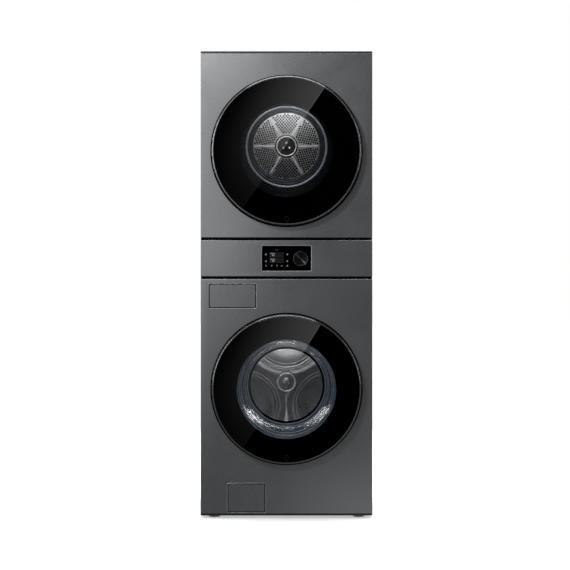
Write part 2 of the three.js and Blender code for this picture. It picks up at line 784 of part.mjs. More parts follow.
// The lint cassette: it stands in a slot in the bottom of the throat and lifts straight out.
function lintFilter() {
  const [middle, radius] = [DRYER_DOOR_Z + 16, 174];
  const edge = Math.asin(LINT_HALF / radius);
  const outline = new THREE.Shape();
  outline.moveTo(-LINT_HALF + 12, LINT_BOTTOM);
  outline.lineTo(LINT_HALF - 12, LINT_BOTTOM);
  outline.lineTo(LINT_HALF, middle - radius * Math.cos(edge));
  outline.absarc(0, middle, radius, -Math.PI / 2 + edge, -Math.PI / 2 - edge, true);
  return slab(outline, LINT_Y[0] + 4, LINT_Y[1] - 4, 8);
}

// The drum: rim, shell, back and three hollow pressed baffles, with a stub shaft behind.
function dryerDrum() {
  const shell = turnY(
    capProfile(
      [
        [268, FRONT + 124],
        [DRYER_DRUM_RADIUS, FRONT + 136],
        [DRYER_DRUM_RADIUS, DRUM_BACK],
        [0, DRUM_BACK],
      ],
      DRUM_WALL,
    ),
    0,
    DRYER_AXIS_Z,
  );
  const wall = DRYER_AXIS_Z - DRYER_DRUM_RADIUS;
  const pressing = (inwards, bottom) => {
    const [top, half] = [wall + 61 - inwards, 14 - inwards];
    const outline = new THREE.Shape();
    outline.moveTo(-half - 16, bottom);
    outline.lineTo(half + 16, bottom);
    outline.lineTo(half, top);
    outline.lineTo(-half, top);
    return slab(outline, FRONT + 200 + inwards, FRONT + 540 - inwards);
  };
  const around = (made) =>
    [90, 210, 330].map((angle) => turned(made, angle - 270, 0, DRYER_AXIS_Z));
  const shaft = rodY(0, DRYER_AXIS_Z, 10, DRUM_BACK, FRONT + 640);
  const drum = join(shell, ...around(pressing(0, wall + 1.8)), shaft);
  return cut(drum, ...around(pressing(2, wall - 5)));
}

// The air duct behind the drum. It holds the rear bearing and the heater, and opens downwards.
function rearAirDuct() {
  const [face, back, sheet] = [FRONT + 625, FRONT + 700, 1.5];
  const outside = block(-240, 240, face, back, 1130, 1800);
  const inside = block(-240 + sheet, 240 - sheet, face + sheet, back - sheet, 1129, 1800 - sheet);
  const bearing = rodY(0, DRYER_AXIS_Z, 28, face, face + 20);
  const bore = rodY(0, DRYER_AXIS_Z, 11, FRONT + 600, face + 21);
  return cut(join(cut(outside, inside), bearing), bore);
}

const rollerPlace = (side) => {
  const reach = DRYER_DRUM_RADIUS + ROLLER_RADIUS + 1.2;
  const angle = THREE.MathUtils.degToRad(ROLLER_ANGLE);
  return [side * reach * Math.sin(angle), DRYER_AXIS_Z - reach * Math.cos(angle)];
};

function roller(side) {
  const [x, z] = rollerPlace(side);
  return join(
    rodY(x, z, ROLLER_RADIUS, FRONT + 145, FRONT + 167, 24),
    rodY(x, z, 5, FRONT + 100.4, FRONT + 172),
  );
}

function dryerMotor() {
  const body = rodY(MOTOR_X, MOTOR_Z, 50, FRONT + 425, FRONT + 560, 24);
  const foot = block(MOTOR_X - 40, MOTOR_X + 40, FRONT + 440, FRONT + 545, 1095, 1125);
  return cut(join(body, foot), rodY(MOTOR_X, MOTOR_Z, 7, FRONT + 420, FRONT + 565));
}

// The motor's shaft, with the belt pulley in front and the blower wheel behind.
function blowerShaft() {
  const shaft = rodY(MOTOR_X, MOTOR_Z, 6, FRONT + 390, FRONT + 610);
  const pulley = rodY(MOTOR_X, MOTOR_Z, PULLEY_RADIUS, BELT_Y - 8, BELT_Y + 8);
  const wheel = rodY(MOTOR_X, MOTOR_Z, 58, FRONT + 570, FRONT + 574, 24);
  const blades = [];
  for (let angle = 0; angle < 360; angle += 30) {
    const blade = block(MOTOR_X - 1, MOTOR_X + 1, FRONT + 573, FRONT + 606, MOTOR_Z + 34, MOTOR_Z + 56);
    blades.push(turned(blade, angle, MOTOR_X, MOTOR_Z));
  }
  return join(shaft, pulley, wheel, ...blades);
}

// The outline round two circles that are joined by their outer tangents, each circle grown by extra.
function beltOutline(extra) {
  const [big, small] = [DRYER_DRUM_RADIUS + extra, PULLEY_RADIUS + extra];
  const [dx, dz] = [MOTOR_X, MOTOR_Z - DRYER_AXIS_Z];
  const towards = Math.atan2(dz, dx);
  const lean = Math.acos((big - small) / Math.hypot(dx, dz));
  const outline = new THREE.Shape();
  outline.absarc(0, DRYER_AXIS_Z, big, towards + lean, towards - lean + Math.PI * 2, false);
  outline.absarc(MOTOR_X, MOTOR_Z, small, towards - lean, towards + lean, false);
  return outline;
}

const drumBelt = () =>
  cut(
    slab(beltOutline(3), BELT_Y - 4, BELT_Y + 4, FINE / 2),
    slab(beltOutline(1.6), BELT_Y - 5, BELT_Y + 5, FINE / 2),
  );

piece("dryer_front_bulkhead", dryerFrontBulkhead(), greyPlastic);
piece("lint_filter", lintFilter(), greyPlastic);
piece("dryer_drum", dryerDrum(), stainless);
piece("rear_air_duct", rearAirDuct(), galvanised);
piece("drum_roller_left", roller(-1), rubber);
piece("drum_roller_right", roller(1), rubber);
piece("dryer_motor", dryerMotor(), darkSteel);
piece("blower_shaft", blowerShaft(), castAlloy);
piece("drum_belt", drumBelt(), rubber);

export default tower;
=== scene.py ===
# A stacked washing machine and tumble dryer, dressed for rendering. Metres, +Z up, front towards -Y.
import math

import bmesh
import bpy
from mathutils import Matrix, Vector


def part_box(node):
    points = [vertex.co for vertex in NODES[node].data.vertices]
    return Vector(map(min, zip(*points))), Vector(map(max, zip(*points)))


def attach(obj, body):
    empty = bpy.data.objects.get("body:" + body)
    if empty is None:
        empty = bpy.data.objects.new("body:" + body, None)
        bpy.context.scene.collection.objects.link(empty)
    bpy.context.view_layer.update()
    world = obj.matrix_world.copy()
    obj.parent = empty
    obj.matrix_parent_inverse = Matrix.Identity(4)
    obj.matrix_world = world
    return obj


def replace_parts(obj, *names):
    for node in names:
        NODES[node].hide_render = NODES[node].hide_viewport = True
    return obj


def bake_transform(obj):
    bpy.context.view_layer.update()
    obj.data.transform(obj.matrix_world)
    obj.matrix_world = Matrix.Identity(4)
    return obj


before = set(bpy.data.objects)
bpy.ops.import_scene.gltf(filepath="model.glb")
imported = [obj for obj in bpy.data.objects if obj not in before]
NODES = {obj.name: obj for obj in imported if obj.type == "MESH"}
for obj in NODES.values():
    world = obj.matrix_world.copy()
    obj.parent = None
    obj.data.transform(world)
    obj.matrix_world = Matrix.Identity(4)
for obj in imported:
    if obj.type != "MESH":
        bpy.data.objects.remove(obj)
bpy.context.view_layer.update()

# ---------------------------------------------------------------- dimensions of the CAD model

FRONT, REAR = -0.380, 0.400
HALF = 0.343
HEIGHT = 1.865
WASHER_Z, DRYER_Z = 0.516, 1.466
DRYER_AXIS = 1.525
DOOR_FRONT = FRONT - 0.040
WASHER_PANEL = (0.0175, 0.955)
CONTROL_BAND = (0.965, 1.110)
DRYER_PANEL = (1.120, 1.8567)
CONTROL_Z = 1.0375
DIAL = (0.056, 1.036)
DRAWER = (-0.3112, -0.1204, 0.8385, 0.9370)
HATCH = (-0.236, -0.084, 0.0224, 0.139)
HINGE_X = -0.280
STRIKE_X = 0.266

# ---------------------------------------------------------------- materials


class Nodes:
    """A new material, with helpers for the nodes of its patterns."""

    def __init__(self, name, empty=False):
        self.material = bpy.data.materials.new(name)
        self.material.use_nodes = True
        tree = self.material.node_tree
        self.nodes, self.links = tree.nodes, tree.links
        if empty:
            self.nodes.clear()
        self.coords = self.nodes.new("ShaderNodeTexCoord").outputs["Object"]

    def feed(self, socket, value):
        """Gives a socket its value, or links it to the output of another node."""
        if hasattr(value, "is_output"):
            self.links.new(value, socket)
        else:
            socket.default_value = value

    def node(self, kind, **inputs):
        """A node with its inputs fed: i0 is the first one, From_Min the one called From Min."""
        made = self.nodes.new(kind)
        for socket, value in inputs.items():
            key = int(socket[1:]) if socket[1:].isdigit() else socket.replace("_", " ")
            self.feed(made.inputs[key], value)
        return made

    def math(self, operation, a, b=0.0):
        made = self.node("ShaderNodeMath", i0=a, i1=b)
        made.operation = operation
        return made.outputs[0]


class Shader(Nodes):
    """A principled material."""

    def __init__(self, name, **fixed):
        super().__init__(name)
        self.bsdf = self.nodes["Principled BSDF"]
        for socket, value in fixed.items():
            self.bsdf.inputs[socket.replace("_", " ")].default_value = value

    def noise(self, scale, stretch=(1, 1, 1), detail=3.0):
        place = self.node("ShaderNodeMapping", Vector=self.coords, Scale=stretch)
        made = self.node("ShaderNodeTexNoise", Vector=place.outputs[0], Scale=scale, Detail=detail)
        return made.outputs["Fac"]

    def spread(self, fac, low, high):
        """Spreads the middle of a noise over the range from low to high."""
        made = self.node(
            "ShaderNodeMapRange", Value=fac, From_Min=0.3, From_Max=0.7, To_Min=low, To_Max=high
        )
        return made.outputs[0]

    def mix(self, fac, a, b):
        made = self.nodes.new("ShaderNodeMix")
        made.data_type = "RGBA"
        for index, value in ((0, fac), (6, a), (7, b)):
            self.feed(made.inputs[index], value)
        return made.outputs[2]

    def to(self, socket, value):
        self.links.new(value, self.bsdf.inputs[socket])

    def bump(self, height, strength, distance):
        made = self.node("ShaderNodeBump", Strength=strength, Distance=distance, Height=height)
        self.to("Normal", made.outputs[0])


def plain(value):
    return (value, value, value, 1)


def cool(value):
    return (value * 0.985, value, value * 1.03, 1)


def scaled(color, factor):
    return tuple(min(1, c * factor) for c in color[:3]) + (1,)


def finish(name, color, metallic, rough, vary, grain, bump, stretch=(1, 1, 1), **fixed):
    """A surface whose tone and gloss vary a little, with a fine grain."""
    s = Shader(name, Metallic=metallic, **fixed)
    broad, fine = s.noise(7, detail=4.0), s.noise(grain, stretch, 2.0)
    tone = s.mix(s.spread(fine, 0, 1), scaled(color, 1 - vary), scaled(color, 1 + vary))
    s.to("Base Color", tone)
    play = min(0.03, rough * 0.15)
    both = s.math("ADD", s.spread(broad, -play, play), s.spread(fine, rough - play, rough + play))
    s.to("Roughness", both)
    s.bump(fine, bump, 0.0003)
    return s


inox = finish("front_steel", cool(0.30), 0.92, 0.30, 0.07, 900, 0.05, (0.06, 1, 1), Anisotropic=0.35)
side_paint = finish("side_steel", cool(0.115), 0.55, 0.42, 0.06, 700, 0.06)
top_paint = finish("top_steel", cool(0.10), 0.55, 0.42, 0.06, 700, 0.06)
zinc = finish("galvanised", cool(0.50), 0.9, 0.40, 0.07, 90, 0.02)
trim = finish("door_trim", cool(0.34), 1.0, 0.20, 0.05, 900, 0.02)
dark_trim = finish("dark_trim", cool(0.012), 0.0, 0.16, 0.1, 900, 0.02, Specular_IOR_Level=0.8)
# Near-black and barely glossy: painted shade, for the dark sheets put where gaps, seams and holes lie in
# shadow.
painted_shade = finish("shadow_gap", plain(0.0015), 0.0, 0.6, 0.2, 500, 0.05, Specular_IOR_Level=0.05)
black_gloss = finish("black_gloss", cool(0.0012), 0.0, 0.008, 0.1, 300, 0.0, Specular_IOR_Level=0.5)
black_plastic = finish("black_plastic", plain(0.018), 0.0, 0.42, 0.15, 900, 0.12)
grey_plastic = finish("grey_plastic", cool(0.20), 0.0, 0.48, 0.1, 900, 0.1)
white_plastic = finish("white_plastic", cool(0.62), 0.0, 0.42, 0.05, 900, 0.08)
gasket_rubber = finish("gasket_rubber", cool(0.085), 0.0, 0.55, 0.12, 500, 0.12)
black_rubber = finish("black_rubber", plain(0.014), 0.0, 0.7, 0.2, 700, 0.25)
stainless = finish("drum_steel", cool(0.56), 1.0, 0.24, 0.06, 500, 0.03, (1, 0.1, 1))
alloy = finish("alloy", plain(0.46), 0.9, 0.5, 0.12, 500, 0.2)
copper = finish("copper", (0.42, 0.17, 0.075, 1), 0.9, 0.35, 0.25, 900, 0.4, (1, 0.05, 1))
dark_steel = finish("dark_steel", plain(0.05), 0.8, 0.35, 0.15, 500, 0.08)
screw_steel = finish("screw_steel", plain(0.5), 0.9, 0.35, 0.1, 700, 0.05)
inlet_cold = finish("inlet_cold", (0.02, 0.10, 0.30, 1), 0.0, 0.4, 0.1, 700, 0.08)
inlet_hot = finish("inlet_hot", (0.35, 0.03, 0.02, 1), 0.0, 0.4, 0.1, 700, 0.08)
# Lighter than the front steel: painted highlight, for the fine raised edges round the openings and the
# control glass.
edge_highlight_steel = finish("edge_highlight_steel", cool(0.62), 0.70, 0.34, 0.05, 900, 0.02)
disc_steel = finish("disc_steel", cool(0.58), 0.9, 0.36, 0.06, 500, 0.05)
# Lighter and less metallic than the drum steel: the ridges, ribs, hub rings and screws are real raised
# shapes, and their lighter tone is painted highlight.
raised_highlight_steel = finish("raised_highlight_steel", cool(0.85), 0.45, 0.30, 0.05, 500, 0.02)
washer_hub = finish("washer_hub", cool(0.30), 0.7, 0.30, 0.05, 500, 0.01)
hub_steel = finish("hub_steel", cool(0.075), 0.9, 0.3, 0.06, 500, 0.02)
drum_wall = finish("drum_wall", cool(0.15), 0.9, 0.34, 0.06, 500, 0.04, (1, 0.1, 1))
throat_plastic = finish(
    "throat_plastic", (0.020, 0.026, 0.036, 1), 0.0, 0.55, 0.1, 700, 0.02, Specular_IOR_Level=0.12
)
ring_plastic = finish("ring_plastic", (0.40, 0.45, 0.52, 1), 0.3, 0.30, 0.1, 700, 0.02)

mark_ink = finish("mark_ink", plain(0.028), 0.3, 0.35, 0.1, 900, 0.0)
display_grey = finish("display_grey", cool(0.012), 0.0, 0.3, 0.2, 900, 0.0)
display_line = finish("display_line", plain(0.13), 0.0, 0.4, 0.1, 900, 0.0)
display_white = finish("display_white", plain(0.55), 0.0, 0.4, 0.1, 900, 0.0)
display_red = finish("display_red", (0.45, 0.06, 0.03, 1), 0.0, 0.4, 0.1, 900, 0.0)
display_blue = finish("display_blue", (0.05, 0.25, 0.6, 1), 0.0, 0.4, 0.1, 900, 0.0)
for shader, color, glow in (
    (display_white, (0.8, 0.85, 0.9, 1), 0.3),
    (display_red, (1, 0.15, 0.08, 1), 0.2),
    (display_blue, (0.15, 0.5, 1, 1), 0.2),
):
    shader.bsdf.inputs["Emission Color"].default_value = color
    shader.bsdf.inputs["Emission Strength"].default_value = glow


def glass(name, color, alpha, rough, ripple=0.0, gloss=1.0):
    """Clear or tinted glass, with a faint ripple where it is moulded."""
    s = Shader(name, Metallic=0.0, Alpha=alpha, Specular_IOR_Level=gloss)
    fine = s.noise(240, detail=2.0)
    s.to("Base Color", s.mix(fine, color, scaled(color, 0.8)))
    s.to("Roughness", s.spread(fine, rough * 0.8, rough * 1.2))
    if ripple:
        s.bump(s.noise(90, detail=4.0), ripple, 0.002)
    return s


tinted = glass("tinted_window", (0.004, 0.005, 0.007, 1), 0.42, 0.004)
bowl_glass = glass("bowl_glass", (0.30, 0.38, 0.50, 1), 0.16, 0.03)
end_glass = glass("bowl_end_glass", (0.10, 0.14, 0.20, 1), 0.06, 0.05, gloss=0.3)
wall_glass = glass("bowl_wall_glass", (0.20, 0.27, 0.38, 1), 0.55, 0.07, 0.05)
clear_dish = glass("clear_dish", (0.05, 0.07, 0.10, 1), 0.04, 0.05, gloss=0.1)
teal_edge = glass("teal_edge", (0.10, 0.20, 0.25, 1), 0.85, 0.08)
shoulder = glass("bowl_shoulder", (0.48, 0.54, 0.62, 1), 0.75, 0.12)


def spun_metal():
    """The dial's face, whose grain runs round the dial's axis."""
    s = finish(
        "dial_metal", cool(0.035), 1.0, 0.15, 0.05, 900, 0.0, Anisotropic=0.95, Anisotropic_Rotation=0.25
    )
    round_axis = s.nodes.new("ShaderNodeTangent")
    round_axis.direction_type, round_axis.axis = "RADIAL", "Y"
    s.to("Tangent", round_axis.outputs[0])
    return s


def perforated_steel(holes_round=132, row_pitch=0.0136, hole_size=0.13):
    """The washer drum's steel: staggered holes in rows round its wall, none near its ends, painted as
    near-black spots of shade.
    """
    metal = 0.8
    s = finish("perforated_steel", cool(0.50), metal, 0.30, 0.03, 60, 0.0, (1, 0.1, 1))
    place = s.node("ShaderNodeSeparateXYZ", Vector=s.coords).outputs
    angle = s.math("ARCTAN2", place["X"], s.math("SUBTRACT", place["Z"], WASHER_Z))
    around = s.math("MULTIPLY", angle, holes_round / (2 * math.pi))
    along = s.math("DIVIDE", s.math("SUBTRACT", place["Y"], FRONT), row_pitch)
    shift = s.math("MULTIPLY", s.math("MODULO", s.math("FLOOR", along), 2.0), 0.5)
    # The added whole number keeps the count positive all the way round.
    count = s.math("ADD", s.math("ADD", around, 200.0), shift)
    u = s.math("SUBTRACT", s.math("FRACT", count), 0.5)
    v = s.math("SUBTRACT", s.math("FRACT", along), 0.5)
    squares = s.math("ADD", s.math("MULTIPLY", u, u), s.math("MULTIPLY", v, v))
    dot = s.math("LESS_THAN", s.math("SQRT", squares), hole_size)
    behind = s.math("GREATER_THAN", place["Y"], FRONT + 0.150)
    before = s.math("LESS_THAN", place["Y"], FRONT + 0.562)
    hole = s.math("MULTIPLY", dot, s.math("MULTIPLY", behind, before))
    tone = s.bsdf.inputs["Base Color"].links[0].from_socket
    # Painted shade: each hole is a near-black, unmetallic spot, standing for the dark behind it.
    s.to("Base Color", s.mix(hole, tone, plain(0.004)))
    s.to("Metallic", s.math("MULTIPLY", metal, s.math("SUBTRACT", 1.0, hole)))
    return s


dial_metal = spun_metal()
perforated = perforated_steel()

NODE_FINISH = {
    inox: "washer_front_panel dryer_front_panel control_fascia drawer_front filter_hatch",
    side_paint: "side_panel_left side_panel_right",
    top_paint: "top_panel",
    zinc: "base_pan rear_cover mid_deck rear_air_duct damper_rod_left damper_rod_right",
    trim: "washer_door_rim dryer_door_rim",
    black_gloss: "control_glass washer_door_glass dryer_door_glass",
    black_plastic: "control_module control_dial washer_door_inner_frame dryer_door_inner_frame "
    "washer_door_lock dryer_door_lock damper_cylinder_left damper_cylinder_right",
    grey_plastic: "drain_pump drain_filter tub_front tub_rear drum_lifter_1 drum_lifter_2 "
    "drum_lifter_3 lint_filter",
    white_plastic: "drawer_tray dispenser_housing inlet_valve",
    gasket_rubber: "washer_gasket",
    throat_plastic: "dryer_front_bulkhead",
    black_rubber: "drum_belt drum_roller_left drum_roller_right levelling_foot_front_left "
    "levelling_foot_front_right levelling_foot_rear_left levelling_foot_rear_right",
    stainless: "washer_drum dryer_drum",
    alloy: "washer_door_hinge_bracket dryer_door_hinge_bracket drum_spider blower_shaft",
    copper: "motor_stator",
    dark_steel: "motor_rotor dryer_motor suspension_spring_left suspension_spring_right",
    bowl_glass: "washer_door_bowl dryer_door_window",
}
for shader, names in NODE_FINISH.items():
    for name in names.split():
        NODES[name].data.materials.clear()
        NODES[name].data.materials.append(shader.material)

# ---------------------------------------------------------------- mesh helpers


def placed(name, data):
    """A new object in the scene."""
    made = bpy.data.objects.new(name, data)
    bpy.context.scene.collection.objects.link(made)
    return made


def evaluated_mesh(made):
    graph = bpy.context.evaluated_depsgraph_get()
    return bpy.data.meshes.new_from_object(made.evaluated_get(graph))


def piece(name, bm, shader, body, slot, sharp=32):
    """A finished mesh as an object that rides on a body, smooth but for its sharp edges."""
    bmesh.ops.remove_doubles(bm, verts=bm.verts, dist=1e-6)
    bmesh.ops.recalc_face_normals(bm, faces=bm.faces)
    for face in bm.faces:
        face.smooth = True
    for edge in bm.edges:
        edge.smooth = not edge.is_manifold or edge.calc_face_angle(0) < math.radians(sharp)
    mesh = bpy.data.meshes.new(name)
    bm.to_mesh(mesh)
    bm.free()
    mesh.materials.append(shader.material)
    made = placed(name, mesh)
    if body:
        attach(made, body)
    return made


def loft(bm, rings, wrap=True):
    """Faces between rings that have the same number of points."""
    rows = [[bm.verts.new(point) for point in ring] for ring in rings]
    count = len(rows[0])
    for first, second in zip(rows, rows[1:]):
        for i in range(count if wrap else count - 1):
            j = (i + 1) % count
            bm.faces.new((first[i], first[j], second[j], second[i]))
    return rows


def turned_rings(profile, z, sides, x=0.0, rise=None):
    """Rings round an axis along Y, from [radius, y] points. rise gives a ring's extra height."""
    rings = []
    for radius, y in profile:
        lift = rise(y) if rise else 0.0
        ring = []
        for i in range(sides):
            angle = 2 * math.pi * i / sides
            ring.append((x + radius * math.sin(angle), y, z + lift + radius * math.cos(angle)))
        rings.append(ring)
    return rings


def smooth(value):
    t = min(1.0, max(0.0, value))
    return t * t * (3 - 2 * t)


def fillet(profile, radius, steps=3, closed=True):
    """A profile with its corners rounded."""
    out = []
    count = len(profile)
    for i, corner in enumerate(profile):
        here = Vector(corner)
        if not closed and i in (0, count - 1):
            out.append(tuple(here))
            continue
        before, after = Vector(profile[i - 1]), Vector(profile[(i + 1) % count])
        back, on = before - here, after - here
        cut = min(radius, back.length * 0.45, on.length * 0.45)
        start, end = here + back.normalized() * cut, here + on.normalized() * cut
        for step in range(steps + 1):
            t = step / steps
            out.append(tuple((1 - t) ** 2 * start + 2 * t * (1 - t) * here + t * t * end))
    return out


def lathe(name, profile, z, shader, body, slot, sides=192, x=0.0, rise=None, closed=True):
    bm = bmesh.new()
    line = profile + [profile[0]] if closed else profile
    loft(bm, turned_rings(line, z, sides, x, rise))
    return piece(name, bm, shader, body, slot)


def ridge(bm, path, half_width, height, surface):
    """A half-round ridge along an open path of (x, z) points, tapered at its ends, on a surface."""
    rows = []
    last = len(path) - 1
    for k, point in enumerate(path):
        swell = math.sqrt(max(0.0, 1 - (2 * k / last - 1) ** 16))
        along = (Vector(path[min(k + 1, last)]) - Vector(path[max(k - 1, 0)])).normalized()
        ring = []
        for j in range(9):
            turn = math.pi * j / 8
            across, out = half_width * swell * math.cos(turn), height * swell * math.sin(turn)
            x, z = point[0] - along.y * across, point[1] + along.x * across
            ring.append((x, surface(x, z) + 0.0001 - out, z))
        rows.append(ring)
    loft(bm, rows, wrap=False)


def steps_of(count):
    """Evenly spaced angles all the way round."""
    return [2 * math.pi * i / count for i in range(count)]


def rounded_outline(x0, x1, z0, z1, radius, steps=6):
    points = []
    corners = ((x1, z1, 0), (x0, z1, 90), (x0, z0, 180), (x1, z0, 270))
    for cx, cz, start in corners:
        mx = cx - radius if cx == x1 else cx + radius
        mz = cz - radius if cz == z1 else cz + radius
        for step in range(steps + 1):
            angle = math.radians(start + 90 * step / steps)
            points.append((mx + radius * math.cos(angle), mz + radius * math.sin(angle)))
    return points


def grown(opening, by, radius, steps=6):
    """The rounded outline of an opening [x0, x1, z0, z1], made larger or smaller all round."""
    x0, x1, z0, z1 = opening
    return rounded_outline(x0 - by, x1 + by, z0 - by, z1 + by, radius, steps)


def circle(x, z, radius, sides):
    return [(x + radius * math.cos(a), z + radius * math.sin(a)) for a in steps_of(sides)]


def flat(outline, y):
    """An outline in X and Z, put at one depth."""
    return [(u, y, v) for u, v in outline]


def filled(loops):
    """Triangles that fill an outline and leave its holes open, as points and faces in a plane."""
    curve = bpy.data.curves.new("outline", "CURVE")
    curve.dimensions = "2D"
    curve.fill_mode = "FRONT"
    for loop in loops:
        spline = curve.splines.new("POLY")
        spline.points.add(len(loop) - 1)
        for point, (u, v) in zip(spline.points, loop):
            point.co = (u, v, 0, 1)
        spline.use_cyclic_u = True
    holder = placed("outline", curve)
    mesh = evaluated_mesh(holder)
    points = [tuple(vertex.co) for vertex in mesh.vertices]
    faces = [tuple(face.vertices) for face in mesh.polygons]
    bpy.data.objects.remove(holder)
    bpy.data.curves.remove(curve)
    bpy.data.meshes.remove(mesh)
    return points, faces


def sheet(bm, loops, y):
    """A flat face with holes, in X and Z, at one depth."""
    points, faces = filled(loops)
    verts = [bm.verts.new((u, y, v)) for u, v, _ in points]
    for face in faces:
        bm.faces.new([verts[i] for i in face])


def wall(bm, loop, y0, y1):
    loft(bm, [flat(loop, y) for y in (y0, y1)])


def box(bm, x0, x1, y0, y1, z0, z1):
    scale = Matrix.Diagonal((x1 - x0, y1 - y0, z1 - z0, 1))
    middle = Matrix.Translation(((x0 + x1) / 2, (y0 + y1) / 2, (z0 + z1) / 2))
    bmesh.ops.create_cube(bm, size=1, matrix=middle @ scale)


def carved(made, boxes):
    """Cuts boxes out of a piece, and leaves no modifier behind."""
    tools = []
    for corners in boxes:
        bm = bmesh.new()
        box(bm, *corners)
        mesh = bpy.data.meshes.new("cutter")
        bm.to_mesh(mesh)
        bm.free()
        tools.append(placed("cutter", mesh))
        mod = made.modifiers.new("cut", "BOOLEAN")
        mod.operation, mod.object, mod.solver = "DIFFERENCE", tools[-1], "EXACT"
    bpy.context.view_layer.update()
    result = evaluated_mesh(made)
    made.modifiers.clear()
    made.data = result
    for tool in tools:
        bpy.data.objects.remove(tool)


def at(pairs, base=FRONT):
    """Profile points given in millimetres, with depths counted from a plane."""
    return [(radius / 1000, base + depth / 1000) for radius, depth in pairs]


def turned(name, z, points, bend, shader, body, slot, sides=256, steps=2, closed=True, base=FRONT, **more):
    """A lathed piece from [radius, depth] points in millimetres, with its corners rounded."""
    line = at(points, base)
    if bend:
        line = fillet(line, bend, steps, closed)
    return lathe(name, line, z, shader, body, slot, sides, closed=closed, **more)


def thick(line, width):
    """A closed profile that follows a line, with a wall on its left side."""
    outer = []
    for i, point in enumerate(line):
        here = Vector(point)
        before = (here - Vector(line[i - 1])).normalized() if i else None
        after = (Vector(line[i + 1]) - here).normalized() if i + 1 < len(line) else None
        along = ((before or after) + (after or before)).normalized()
        normal = Vector((-along.y, along.x))
        lean = normal.dot(Vector((-(before or after).y, (before or after).x)))
        outer.append(tuple(here + normal * width / max(lean, 0.5)))
    return list(line) + outer[::-1]


# ---------------------------------------------------------------- cabinet fronts

FOLD, FLANGE = 0.0022, 0.025
HEM = 0.0025
DOOR_HOLE_SIDES = 192
SCREEN = (-0.0994, 0.0994, CONTROL_Z - 0.0509, CONTROL_Z + 0.0509)


def pressed_panel(name, z0, z1, holes):
    """A pressed sheet: a flat face with turned-in holes, and rounded folds back along its edges."""
    whole = (-HALF, HALF, z0, z1)
    bm = bmesh.new()
    sheet(bm, [grown(whole, -FOLD, 0.001)] + holes, FRONT)
    rings = []
    for step in range(7):
        angle = math.radians(90 * step / 6)
        out = FOLD * math.sin(angle)
        outline = grown(whole, out - FOLD, 0.001 + out)
        rings.append(flat(outline, FRONT + FOLD * (1 - math.cos(angle))))
    rings.append(flat(outline, FRONT + FLANGE))
    loft(bm, rings)
    for hole in holes:
        wall(bm, hole, FRONT, FRONT + HEM)
    return piece(name, bm, inox, "cabinet", "front_steel")


def hinge_arms(z):
    """Heights of a door's two hinge arms."""
    return (z - 0.030, z + 0.030)


def door_slots(z):
    """Slots in a front panel for the door's hinge arms and for its catch."""
    slots = [
        rounded_outline(HINGE_X - 0.004, HINGE_X + 0.004, arm - 0.007, arm + 0.007, 0.002)
        for arm in hinge_arms(z)
    ]
    slots.append(rounded_outline(STRIKE_X - 0.012, STRIKE_X + 0.008, z - 0.014, z + 0.014, 0.003))
    return slots


washer_holes = [circle(0, WASHER_Z, 0.236, DOOR_HOLE_SIDES), grown(DRAWER, 0, 0.008), grown(HATCH, 0, 0.006)]
dryer_holes = [circle(0, DRYER_Z, 0.216, DOOR_HOLE_SIDES)]
for name, node, heights, holes in (
    ("washer_face", "washer_front_panel", WASHER_PANEL, washer_holes + door_slots(WASHER_Z)),
    ("dryer_face", "dryer_front_panel", DRYER_PANEL, dryer_holes + door_slots(DRYER_Z)),
    ("control_band", "control_fascia", CONTROL_BAND, [grown(SCREEN, 0, 0.004)]),
):
    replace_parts(pressed_panel(name, *heights, holes), node)

# Painted shade: dark strips behind the seams between the front panels, and behind the lowest edge, where
# these gaps lie in shadow.
bm = bmesh.new()
strip_x, strip_y = HALF - 0.0012, FRONT + 0.0030
for below, above in ((WASHER_PANEL, CONTROL_BAND), (CONTROL_BAND, DRYER_PANEL)):
    box(bm, -strip_x, strip_x, strip_y, FRONT + 0.024, below[1] + 0.0005, above[0] - 0.0005)
box(bm, -HALF + 0.002, HALF - 0.002, strip_y, FRONT + 0.020, 0.0125, 0.0172)
piece("seam_shade_strips", bm, painted_shade, "cabinet", "black_rubber")

# ---------------------------------------------------------------- drawer and hatch fronts

CHAMFER = 0.0010
for name, node, body, opening, gap, corner, thickness in (
    ("drawer_plate", "drawer_front", "detergent_drawer", DRAWER, 0.0036, 0.0065, 0.004),
    ("hatch_plate", "filter_hatch", "hatch", HATCH, 0.0034, 0.005, 0.0025),
):
    face = grown(opening, -gap - CHAMFER, corner - CHAMFER)
    rim = grown(opening, -gap, corner)
    bm = bmesh.new()
    rows = loft(bm, [flat(face, FRONT), flat(rim, FRONT + CHAMFER), flat(rim, FRONT + thickness)])
    bm.faces.new(rows[0])
    bm.faces.new(rows[-1])
    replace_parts(piece(name, bm, inox, body, "front_steel"), node)

# Painted shade: near-black sheets behind the gaps round the drawer and the hatch, so that the gaps read dark.
for name, opening, inside in (
    ("drawer_gap_shade", DRAWER, (-0.3052, -0.1264, 0.8425, 0.9210)),
    ("hatch_gap_shade", HATCH, (-0.2300, -0.0900, 0.0290, 0.1320)),
):
    bm = bmesh.new()
    loops = [grown(opening, 0.003, 0.006), rounded_outline(*inside, 0.004)]
    shade_front, shade_back = FRONT + 0.0044, FRONT + 0.0058
    sheet(bm, loops, shade_front)
    sheet(bm, loops, shade_back)
    for loop in loops:
        wall(bm, loop, shade_front, shade_back)
    piece(name, bm, painted_shade, "cabinet", "black_rubber")

# A fine raised edge round both openings, in a lighter steel whose tone paints the highlight of the pressed
# edge.
EDGE = ((0.0, 0.0010), (0.0, -0.0002), (0.0008, -0.0004), (0.0018, 0.0002))
for name, opening, corner in (("drawer_edge", DRAWER, 0.008), ("hatch_edge", HATCH, 0.006)):
    bm = bmesh.new()
    loft(bm, [flat(grown(opening, grow, corner + grow), FRONT + depth) for grow, depth in EDGE])
    piece(name, bm, edge_highlight_steel, "cabinet", "front_steel")

# ---------------------------------------------------------------- doors


